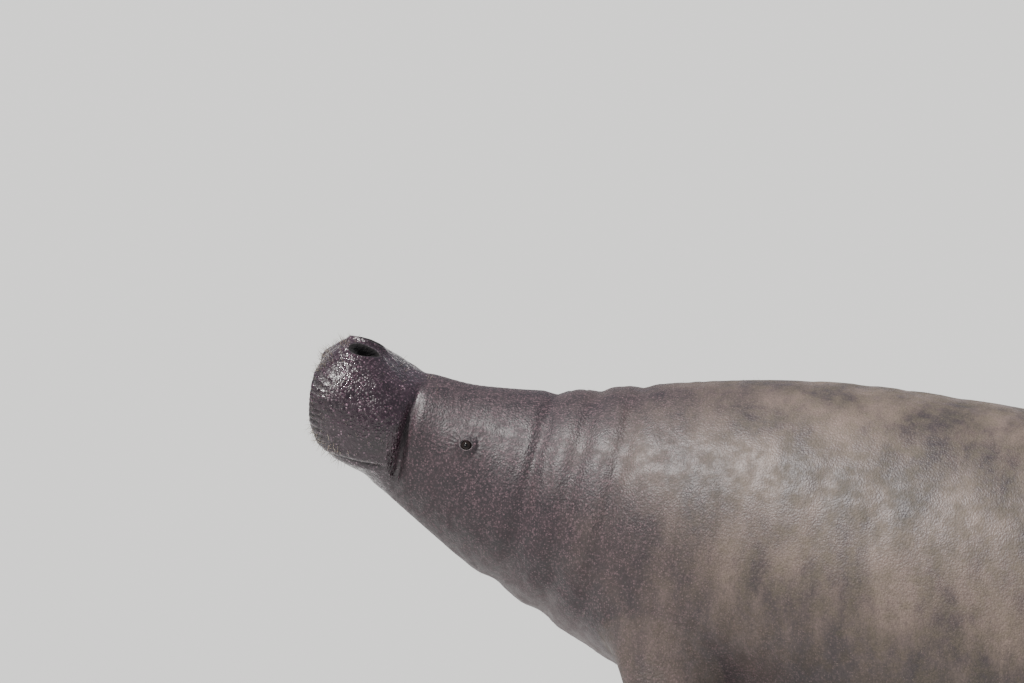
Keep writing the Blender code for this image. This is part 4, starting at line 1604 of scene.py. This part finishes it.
    def mouth_relief(self, x: Array, z: Array) -> tuple[Array, Array]:
        """The line of the mouth between full lips.

        Args:
            x: stations.
            z: heights.

        Returns:
            Distances out of the skin, and a mask of the line, where shade is painted.
        """
        above = self.body.beyond(self.body.mouth_plane, x, z)
        inside = self.body.inside_mouth(x)
        line = hill(above, 0.0032) * inside
        upper, lower = hill(above - 0.0125, 0.009) * inside, hill(above + 0.0115, 0.007) * inside
        # The second result is painted shade along the line of the mouth.
        return 0.0030 * upper + 0.0022 * lower - 0.0050 * line, 0.9 * hill(above, 0.0045) * inside

    @staticmethod
    def neck_relief(plain: Array, flank: Array) -> Array:
        """Wrinkles that run round the neck and the throat.

        Args:
            plain: places at rest.
            flank: distances from the middle.

        Returns:
            Distances out of the skin.
        """
        x, _, z = plain.T
        sway = 0.030 * soft_noise(plain, 0.14, 6) + 0.010 * soft_noise(plain, 0.05, 7)
        where = window(0.30, 0.66, 0.05, x) * (0.55 + 0.75 * soft_noise(plain, 0.11, 8)).clip(0.1, 1.2)
        lines = wrinkle_lines((x + 0.14 * z + sway) / 0.033, 3.0)
        fine = wrinkle_lines((x + 0.05 * flank + 1.6 * sway) / 0.0135, 2.0)
        broken = (0.45 + 1.3 * soft_noise(plain, 0.09, 19)).clip(0.0, 1.0)
        return -(0.0022 * lines * broken + 0.0006 * fine) * where

    @staticmethod
    def trunk_relief(plain: Array) -> Array:
        """Soft swells and faint wrinkles of the trunk and the tail.

        Args:
            plain: places at rest.

        Returns:
            Distances out of the skin.
        """
        x, y, z = plain.T
        trunk = step(0.45, 0.75, x)
        sway = 0.060 * soft_noise(plain, 0.30, 9) + 0.016 * soft_noise(plain, 0.09, 10)
        swell = 0.0035 * soft_noise(plain, 0.20, 11) + 0.0012 * soft_noise(plain, 0.07, 12)
        lines = wrinkle_lines((x + 0.10 * z + sway) / 0.085, 4.0)
        lines *= (0.25 + 1.1 * soft_noise(plain, 0.25, 13)).clip(0.0, 1.0)
        stock = wrinkle_lines((x + 0.4 * sway) / 0.050, 3.0) * window(2.05, 2.46, 0.06, x)
        paddle = wrinkle_lines((y + 0.25 * sway) / 0.060, 2.0) * step(2.50, 2.80, x)
        return trunk * (swell - 0.0030 * lines) - 0.0032 * stock - 0.0016 * paddle

    def flipper_relief(self, places: Array, rings: Array) -> Array:
        """Wrinkles across the flippers and the soft ridges of their fingers.

        Args:
            places: places at rest.
            rings: ring numbers, 0 off the flippers.

        Returns:
            Distances out of the skin.
        """
        root, length, chord, _ = self.flipper.axes(Side.RIGHT)
        mirrored = np.column_stack((places[:, 0], np.abs(places[:, 1]), places[:, 2]))
        along, over = (mirrored - root) @ length / self.flipper.length, (mirrored - root) @ chord
        sway = 0.5 * soft_noise(places, 0.06, 14)
        cross = wrinkle_lines(along * self.flipper.length / self.cross_pitch + sway, 2.4)
        cross *= window(0.28, 0.80, 0.06, along)
        fingers = wrinkle_lines((over + self.flipper.sweep * along ** 2) / self.finger_pitch, 1.0)
        fingers *= step(0.50, 0.72, along)
        relief = 0.0013 * fingers - 0.0016 * cross + 0.0010 * soft_noise(places, 0.035, 15)
        return relief * step(0, self.fillet_rings, rings)

    def paint(self, data: bpy.types.Mesh, plain: Array, on_flipper: Array, cavity: Array) -> None:
        """Keeps the masks on the vertices.

        Args:
            data: the skin's mesh.
            plain: places at rest on the plain skin.
            on_flipper: which of them are on a flipper.
            cavity: mask of the deep places, where shade is painted into the colour.
        """
        x, y, z = plain.T
        behind = self.body.beyond(self.body.crease_plane, x, z)
        edge = 0.010 * soft_noise(plain, 0.03, 16) + 0.006 * soft_noise(plain, 0.011, 20)
        muzzle = 1 - step(-0.014, 0.018, behind + edge)
        patchy = 0.10 * soft_noise(plain, 0.10, 17) + 0.05 * soft_noise(plain, 0.03, 18)
        girth = np.maximum(self.body.curves[1](x), 0.02)
        algae = step(0.36, 0.80, x + patchy) * step(-0.75, 0.30, z / girth + 2.0 * patchy)
        algae = np.maximum(algae, 0.55 * on_flipper)
        belly = step(0.25, 0.60, x) * (1 - step(-0.95, -0.55, z / girth + patchy))
        values = {Mask.MUZZLE: muzzle, Mask.CAVITY: cavity, Mask.ALGAE: algae,
                  Mask.BELLY: np.where(on_flipper, 0.0, belly)}
        for mask, numbers in values.items():
            layer = data.attributes.new(mask.value, "FLOAT", "POINT")
            layer.data.foreach_set("value", np.ascontiguousarray(numbers, dtype=np.float32))


# Eyes, nails and bristles


@dataclass
class Eyes:
    """The two small eyes, each a finer ball in the solid's place."""

    body: BodyForm
    finish: EyeFinish
    radius: float = 0.0105
    segments: int = 40

    def build(self) -> list[Piece]:
        """Builds both eyes.

        Returns:
            The eyes' objects.
        """
        look = self.finish.material()
        return [self.eye(side, look) for side in Side]

    def eye(self, side: Side, look: Look) -> Piece:
        """Builds one eye.

        Args:
            side: side of the animal.
            look: its material.

        Returns:
            The eye's object.
        """
        centre, out = self.socket(side)
        mesh = bmesh.new()
        bmesh.ops.create_uvsphere(mesh, u_segments=self.segments, v_segments=self.segments // 2,
                                  radius=self.radius)
        turn = out.to_track_quat("Z", "Y").to_matrix().to_4x4()
        bmesh.ops.transform(mesh, matrix=Matrix.Translation(centre) @ turn, verts=mesh.verts)
        facing = [(vertex.co - centre).normalized().dot(out) for vertex in mesh.verts]
        made = new_object(f"eyeball_{side.label}", mesh, look)
        made.data.attributes.new("facing", "FLOAT", "POINT").data.foreach_set("value", facing)
        return mount(made, (f"eye_{side.label}",))

    def socket(self, side: Side) -> tuple[Vector, Vector]:
        """Centre of the eye and the way it looks.

        Args:
            side: side of the animal.

        Returns:
            The centre and the direction, in the pose.
        """
        lowest, highest = (np.array(corner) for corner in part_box(f"eye_{side.label}"))
        centre = (lowest + highest) / 2
        spot = self.body.spot(self.body.eye_station, self.body.eye_turn(side))
        ahead = self.body.spine.pose(spot.place + spot.out * 0.02) - self.body.spine.pose(spot.place)
        return Vector(centre), Vector(unit(ahead))


@dataclass
class Nails:
    """Three flat nails on the outer face of each flipper's tip."""

    body: BodyForm
    flipper: FlipperForm
    finish: HornFinish
    count: int = 3
    length: float = 0.0135
    width: float = 0.0090
    height: float = 0.0036

    def build(self) -> list[Piece]:
        """Builds all nails.

        Returns:
            The nails' objects.
        """
        look = self.finish.material()
        return [self.nail(side, index, look) for side in Side for index in range(self.count)]

    def nail(self, side: Side, index: int, look: Look) -> Piece:
        """Builds one nail.

        Args:
            side: side of the animal.
            index: number of the nail from the leading edge.
            look: its material.

        Returns:
            The nail's object.
        """
        off = index - (self.count - 1) / 2
        turn, share = np.array(math.radians(90 + 38 * off)), 0.952 - 0.018 * abs(off)
        place = self.flipper.surface(side, share, turn)
        length = unit(place - self.flipper.surface(side, share - 0.05, turn))
        chord = self.flipper.axes(side)[2]
        width = unit(chord - length * chord.dot(length))
        axes = Matrix((length, width, np.cross(length, width))).transposed().to_4x4()
        mesh = bmesh.new()
        bmesh.ops.create_uvsphere(mesh, u_segments=28, v_segments=16, radius=1.0)
        for vertex in mesh.verts:
            x, y, z = vertex.co
            vertex.co = (x * self.length, y * self.width * (1.08 - 0.16 * x * x), z * self.height
                         - 0.0018 * y * y + 0.0003 * math.cos(9 * y) * (1 - x * x))
        bmesh.ops.transform(mesh, matrix=Matrix.Translation(place) @ axes, verts=mesh.verts)
        place_vertices(mesh, self.body.spine.pose(np.array([vertex.co for vertex in mesh.verts])))
        bmesh.ops.recalc_face_normals(mesh, faces=mesh.faces)
        name = f"{side.label}_{index + 1}"
        return mount(new_object(f"horn_nail_{name}", mesh, look), (f"nail_{name}",))


@dataclass(frozen=True)
class Growth:
    """How densely hairs grow at places at rest on the skin."""

    body: BodyForm
    clearing: tuple[float, float] = (0.022, 0.029)

    def muzzle(self, rest: Array) -> Array:
        """Densely on the muzzle's front, sparsely behind, and not in the nostrils or the mouth.

        Args:
            rest: places at rest.

        Returns:
            The density at each place.
        """
        body, (x, _, z) = self.body, rest.T
        ahead = 1 - step(-0.035, -0.005, body.beyond(body.crease_plane, x, z))
        clear = np.ones(len(rest))
        for side in Side:
            nostril = body.spot(body.nostril_station, body.nostril_turn(side)).place
            clear *= step(*self.clearing, np.linalg.norm(rest - nostril, axis=1))
        closed = 1 - body.inside_mouth(x) * hill(body.beyond(body.mouth_plane, x, z), 0.006)
        return ahead * clear * closed * (0.35 + 1.0 * (1 - step(0.02, 0.09, x)))

    def lips(self, rest: Array) -> Array:
        """Above and below the line of the mouth."""
        x, _, z = rest.T
        above = self.body.beyond(self.body.mouth_plane, x, z)
        return (hill(above - 0.020, 0.012) + 0.5 * hill(above + 0.014, 0.006)) * (1 - step(0.04, 0.10, x))

    @staticmethod
    def brow(rest: Array) -> Array:
        """On the muzzle's upper front edge, and a little along its top."""
        x, _, z = rest.T
        edge = step(0.015, 0.035, z) * (1 - step(0.030, 0.055, x))
        return edge + 0.10 * step(0.03, 0.05, z) * window(0.10, 0.17, 0.02, x)

    @staticmethod
    def trunk(rest: Array) -> Array:
        """All over behind the muzzle, thinning towards the tail."""
        return step(0.19, 0.22, rest[:, 0]) * (0.35 + 0.65 * (1 - step(0.5, 2.2, rest[:, 0])))


@dataclass
class Bristles:
    """A growth of short tapered hairs, joined in one piece.

    Args:
        name: name of the piece.
        look: the hairs' material.
        growth: how densely the hairs grow at places at rest.
        doublings: how often the number of hairs is doubled, from one.
        seed: seed of the scatter.
        length: shortest and longest hair.
        radius: radius of a hair at its root.
        lean: how far a hair leans backward, and how far at random.
        backward: the direction back and down.
        sunk: how deep a root lies under the skin.
    """

    name: str
    look: Look
    growth: Callable[[Array], Array]
    doublings: int = 10
    seed: int = 1
    length: tuple[float, float] = (0.006, 0.012)
    radius: float = 0.00030
    lean: tuple[float, float] = (0.35, 0.35)
    backward: tuple[float, float, float] = (0.8, 0.0, -0.6)
    sunk: float = 0.0008

    def build(self, skin: Piece, rest: Array) -> Piece:
        """Builds the growth on the skin.

        Args:
            skin: the finished skin.
            rest: places at rest of its vertices.

        Returns:
            The hairs' object.
        """
        mesh = self.hair()
        corners = np.array([vertex.co for vertex in mesh.verts])
        for _ in range(self.doublings):
            bmesh.ops.duplicate(mesh, geom=mesh.verts[:] + mesh.edges[:] + mesh.faces[:])
        count = 2 ** self.doublings
        rng = np.random.default_rng(self.seed)
        roots, outward = self.scatter(skin.data, rest, count, rng)
        lengths = rng.uniform(*self.length, count)
        tilt = self.lean[0] * np.array(self.backward) + self.lean[1] * rng.normal(size=(count, 3))
        along = unit(outward + tilt)
        side = unit(np.cross(along, rng.normal(size=(count, 3))))
        over = np.cross(along, side)
        curl = lengths * rng.uniform(-0.35, 0.35, count)
        x, y, z = corners.T
        points = (roots[:, None] + along[:, None] * (z * lengths[:, None])[..., None]
                  + side[:, None] * (x * self.radius + z ** 2 * curl[:, None])[..., None]
                  + over[:, None] * (y * self.radius)[:, None][None])
        place_vertices(mesh, points.reshape(-1, 3))
        bmesh.ops.recalc_face_normals(mesh, faces=mesh.faces)
        return mount(new_object(self.name, mesh, self.look))

    @staticmethod
    def hair() -> BMesh:
        """One hair of height 1 and radius 1: a tapered three-sided shaft that can bend."""
        mesh = bmesh.new()
        bmesh.ops.create_cone(mesh, cap_ends=True, segments=3, radius1=1.0, radius2=0.12, depth=1.0,
                              matrix=Matrix.Translation((0, 0, 0.5)))
        shafts = [edge for edge in mesh.edges if abs(edge.verts[0].co.z - edge.verts[1].co.z) > 0.5]
        bmesh.ops.subdivide_edges(mesh, edges=shafts, cuts=2, use_grid_fill=True)
        return mesh

    def scatter(self, data: bpy.types.Mesh, rest: Array, count: int,
                rng: np.random.Generator) -> tuple[Array, Array]:
        """Picks where the hairs grow.

        Args:
            data: the skin's mesh.
            rest: places at rest of its vertices.
            count: how many hairs.
            rng: the seeded source of chance.

        Returns:
            Roots a little under the skin, and the directions out of it.
        """
        faces = len(data.polygons)
        areas, centres, normals = np.zeros(faces), np.zeros(faces * 3), np.zeros(faces * 3)
        starts = np.zeros(faces, dtype=np.int32)
        corners = np.zeros(len(data.loops), dtype=np.int32)
        data.polygons.foreach_get("area", areas)
        data.polygons.foreach_get("center", centres)
        data.polygons.foreach_get("normal", normals)
        data.polygons.foreach_get("loop_start", starts)
        data.loops.foreach_get("vertex_index", corners)
        chance = areas * self.growth(rest[corners[starts]])
        picked = rng.choice(faces, count, replace=True, p=chance / chance.sum())
        centres, normals = centres.reshape(-1, 3)[picked], normals.reshape(-1, 3)[picked]
        spread = np.sqrt(areas[picked])[:, None] * rng.uniform(-0.5, 0.5, (count, 3))
        spread -= normals * (spread * normals).sum(axis=1, keepdims=True)
        return centres + spread - normals * self.sunk, normals


# The stand


@dataclass
class Stand:
    """A flat painted base and two turned steel rods that carry the belly."""

    paint: PaintFinish
    steel: SteelFinish
    base_length: float = 1.40
    base_width: float = 0.60
    base_thickness: float = 0.030
    base_edge: float = 0.005
    rod_radius: float = 0.024
    flange_radius: float = 0.062
    flange_height: float = 0.012
    fillet: float = 0.010
    gap: float = 0.0004
    segments: int = 72
    screw_circle: float = 0.048
    screw_radius: float = 0.0055
    screw_height: float = 0.005
    rod_overlap: float = 0.002

    def build(self) -> list[Piece]:
        """Builds the stand.

        Returns:
            Its objects.
        """
        steel = self.steel.material()
        made = [self.base()]
        for name in ("front", "rear"):
            made += [self.rod(name, steel), self.screws(name, steel)]
        return made

    def base(self) -> Piece:
        """The base plate with rounded edges."""
        mesh = bmesh.new()
        bmesh.ops.create_cube(mesh, size=1.0)
        size = Matrix.Diagonal((self.base_length, self.base_width, self.base_thickness, 1))
        lift = Matrix.Translation((0, 0, self.base_thickness / 2))
        bmesh.ops.transform(mesh, matrix=lift @ size, verts=mesh.verts)
        bmesh.ops.bevel(mesh, geom=mesh.edges[:], offset=self.base_edge, offset_type="OFFSET", affect="EDGES",
                        segments=4, profile=0.5, material=-1)
        made = new_object("base_plate", mesh, self.paint.material())
        made.data.set_sharp_from_angle(angle=math.radians(40))
        return mount(made, ("stand_base",))

    @staticmethod
    def middle(name: str) -> tuple[float, float]:
        """Where the middle of a rod stands on the floor."""
        lowest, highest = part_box(f"stand_rod_{name}")
        return (lowest[0] + highest[0]) / 2, (lowest[1] + highest[1]) / 2

    def rod(self, name: str, look: Look) -> Piece:
        """A turned rod with its flange.

        Args:
            name: which rod.
            look: its material.

        Returns:
            The rod's object.
        """
        foot, top = self.base_thickness + self.gap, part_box(f"stand_rod_{name}")[1][2] + self.rod_overlap
        shoulder = foot + self.flange_height
        rounded = [(self.rod_radius + self.fillet * (1 - math.sin(angle)),
                    shoulder + self.fillet * (1 - math.cos(angle)))
                   for angle in np.linspace(math.pi / 2, 0, 7)]
        outline = [(0, top), (self.rod_radius, top), *rounded, (self.flange_radius - 0.002, shoulder),
                   (self.flange_radius, shoulder - 0.002), (self.flange_radius, foot), (0, foot)]
        mesh = bmesh.new()
        points = [mesh.verts.new((radius, 0, z)) for radius, z in outline]
        edges = [mesh.edges.new(pair) for pair in zip(points, points[1:])]
        bmesh.ops.spin(mesh, geom=points + edges, cent=(0, 0, 0), axis=(0, 0, 1), angle=2 * math.pi,
                       steps=self.segments, use_merge=True)
        bmesh.ops.remove_doubles(mesh, verts=mesh.verts, dist=1e-6)
        bmesh.ops.recalc_face_normals(mesh, faces=mesh.faces)
        bmesh.ops.translate(mesh, verts=mesh.verts, vec=(*self.middle(name), 0))
        made = new_object(f"rod_{name}", mesh, look)
        made.data.set_sharp_from_angle(angle=math.radians(35))
        return mount(made, (f"stand_rod_{name}",))

    def screws(self, name: str, look: Look) -> Piece:
        """Four cap screws with round sunk sockets on a flange.

        Args:
            name: which rod.
            look: their material.

        Returns:
            The screws' object.
        """
        x, y = self.middle(name)
        level = self.base_thickness + self.gap + self.flange_height + self.screw_height / 2
        mesh = bmesh.new()
        for quarter in range(4):
            angle = math.radians(45 + 90 * quarter)
            place = (x + self.screw_circle * math.cos(angle), y + self.screw_circle * math.sin(angle), level)
            head = bmesh.ops.create_cone(mesh, cap_ends=True, segments=24, radius1=self.screw_radius,
                                         radius2=self.screw_radius, depth=self.screw_height,
                                         matrix=Matrix.Translation(place))["verts"]
            top = max({face for vertex in head for face in vertex.link_faces},
                      key=lambda face: face.calc_center_median().z)
            for thickness, depth in ((0.0006, 0.0006), (0.0021, 0.0), (0.0002, -0.003)):
                bmesh.ops.inset_individual(mesh, faces=[top], thickness=thickness, depth=depth)
        made = new_object(f"screws_{name}", mesh, look)
        made.data.set_sharp_from_angle(angle=math.radians(30))
        return mount(made)


# The studio


@dataclass(frozen=True)
class Lamp:
    """A far soft light.

    Args:
        name: name of the light.
        strength: its strength in watts a square metre.
        spread: its apparent size in degrees.
        direction: where it shines from.
        colour: its colour.
    """

    name: str
    strength: float
    spread: float
    direction: tuple[float, float, float]
    colour: Colour

    def build(self) -> None:
        """Hangs the light."""
        data = bpy.data.lights.new(self.name, "SUN")
        data.energy, data.angle, data.color = self.strength, math.radians(self.spread), self.colour
        made = bpy.data.objects.new(self.name, data)
        made.rotation_mode = "QUATERNION"
        made.rotation_quaternion = Vector(self.direction).to_track_quat("Z", "Y")
        bpy.context.scene.collection.objects.link(made)


@dataclass
class Studio:
    """Pale floor, soft light and the camera at the photograph's angle."""

    body: BodyForm
    lamps: tuple[Lamp, ...] = (Lamp("key", 0.65, 16.0, (-0.45, -0.60, 0.66), (1.0, 0.96, 0.90)),
                               Lamp("spark", 5.2, 2.5, (-0.32, -0.12, 0.94), (1.0, 0.97, 0.94)))
    sky_colour: Colour = (0.84, 0.91, 1.0)
    sky_strength: float = 0.45
    azimuth: float = 8.0
    elevation: float = 20.0
    distance: float = 16.0
    metres_per_pixel: float = 0.00155
    image_width: int = 1024
    image_height: int = 683
    nostril_pixel: tuple[float, float] = (365.0, 348.0)
    nostril_place: tuple[float, float, float] = (0.062, -0.028, 0.078)
    floor_size: float = 400.0
    floor_colour: Colour = (0.62, 0.62, 0.61)

    def build(self) -> None:
        """Builds floor, world, lights and camera."""
        self.floor()
        self.world()
        for lamp in self.lamps:
            lamp.build()
        self.camera()

    def floor(self) -> None:
        """The plain pale floor."""
        mesh = bmesh.new()
        bmesh.ops.create_grid(mesh, x_segments=2, y_segments=2, size=self.floor_size / 2)
        graph, look = new_material("pale_floor", self.floor_colour, 0.9)
        shade = tuple(0.985 * c for c in self.floor_colour)
        cloud = graph.cloud(graph.place(), 3.0, 2.0, 0.3, 0.7)
        feed(graph, Base_Color=graph.mix(cloud, self.floor_colour, shade))
        made = new_object("floor", mesh, look)
        LOG.info("floor: %.0f m wide", self.floor_size)

    def world(self) -> None:
        """Pale light from all round."""
        world = bpy.data.worlds.new("studio")
        world.use_nodes = True
        background = world.node_tree.nodes["Background"]
        background.inputs["Color"].default_value = (*self.sky_colour, 1.0)
        background.inputs["Strength"].default_value = self.sky_strength
        bpy.context.scene.world = world

    def camera(self) -> None:
        """The camera, framed so that the left nostril lies where the photograph has it."""
        a, e = math.radians(self.azimuth), math.radians(self.elevation)
        back = Vector((math.sin(a) * math.cos(e), -math.cos(a) * math.cos(e), math.sin(e)))
        right = Vector((math.cos(a), math.sin(a), 0))
        up = back.cross(right)
        nostril = Vector(self.body.spine.pose(self.nostril_place))
        off_x = (self.image_width / 2 - self.nostril_pixel[0]) * self.metres_per_pixel
        off_y = (self.image_height / 2 - self.nostril_pixel[1]) * self.metres_per_pixel
        aim = nostril + right * off_x - up * off_y
        data = bpy.data.cameras.new("camera")
        data.sensor_width = 36.0
        data.lens = self.distance * data.sensor_width / (self.image_width * self.metres_per_pixel)
        data.clip_end = 1000.0
        made = bpy.data.objects.new("camera", data)
        made.location = aim + back * self.distance
        made.rotation_mode = "QUATERNION"
        made.rotation_quaternion = (-back).to_track_quat("-Z", "Y")
        bpy.context.scene.collection.objects.link(made)
        bpy.context.scene.camera = made


def main() -> None:
    """Builds the pieces in order and reports each."""
    logging.basicConfig(level=logging.INFO, format="%(name)s: %(message)s")
    body, flipper = BodyForm(), FlipperForm()
    skin = Skin(body, flipper, SkinFinish())
    hide = mount(skin.build(), skin.solids)
    Eyes(body, EyeFinish()).build()
    Nails(body, flipper, HornFinish()).build()
    pale = HornFinish("bristle_horn", (0.17, 0.13, 0.10), (0.44, 0.37, 0.29), 0.35).material()
    growth = Growth(body)
    for hairs in (Bristles("muzzle_bristles", pale, growth.muzzle, 9, 3, (0.004, 0.009), 0.00020),
                  Bristles("brow_bristles", pale, growth.brow, 7, 11, (0.009, 0.016), 0.00042, (0.0, 0.22)),
                  Bristles("lip_bristles", pale, growth.lips, 8, 5, (0.008, 0.017), 0.00045),
                  Bristles("body_hairs", pale, growth.trunk, 10, 7, (0.004, 0.008), 0.00022)):
        hairs.build(hide, skin.rest)
    Stand(PaintFinish(), SteelFinish()).build()
    Studio(body).build()


if __name__ == "__main__":
    main()
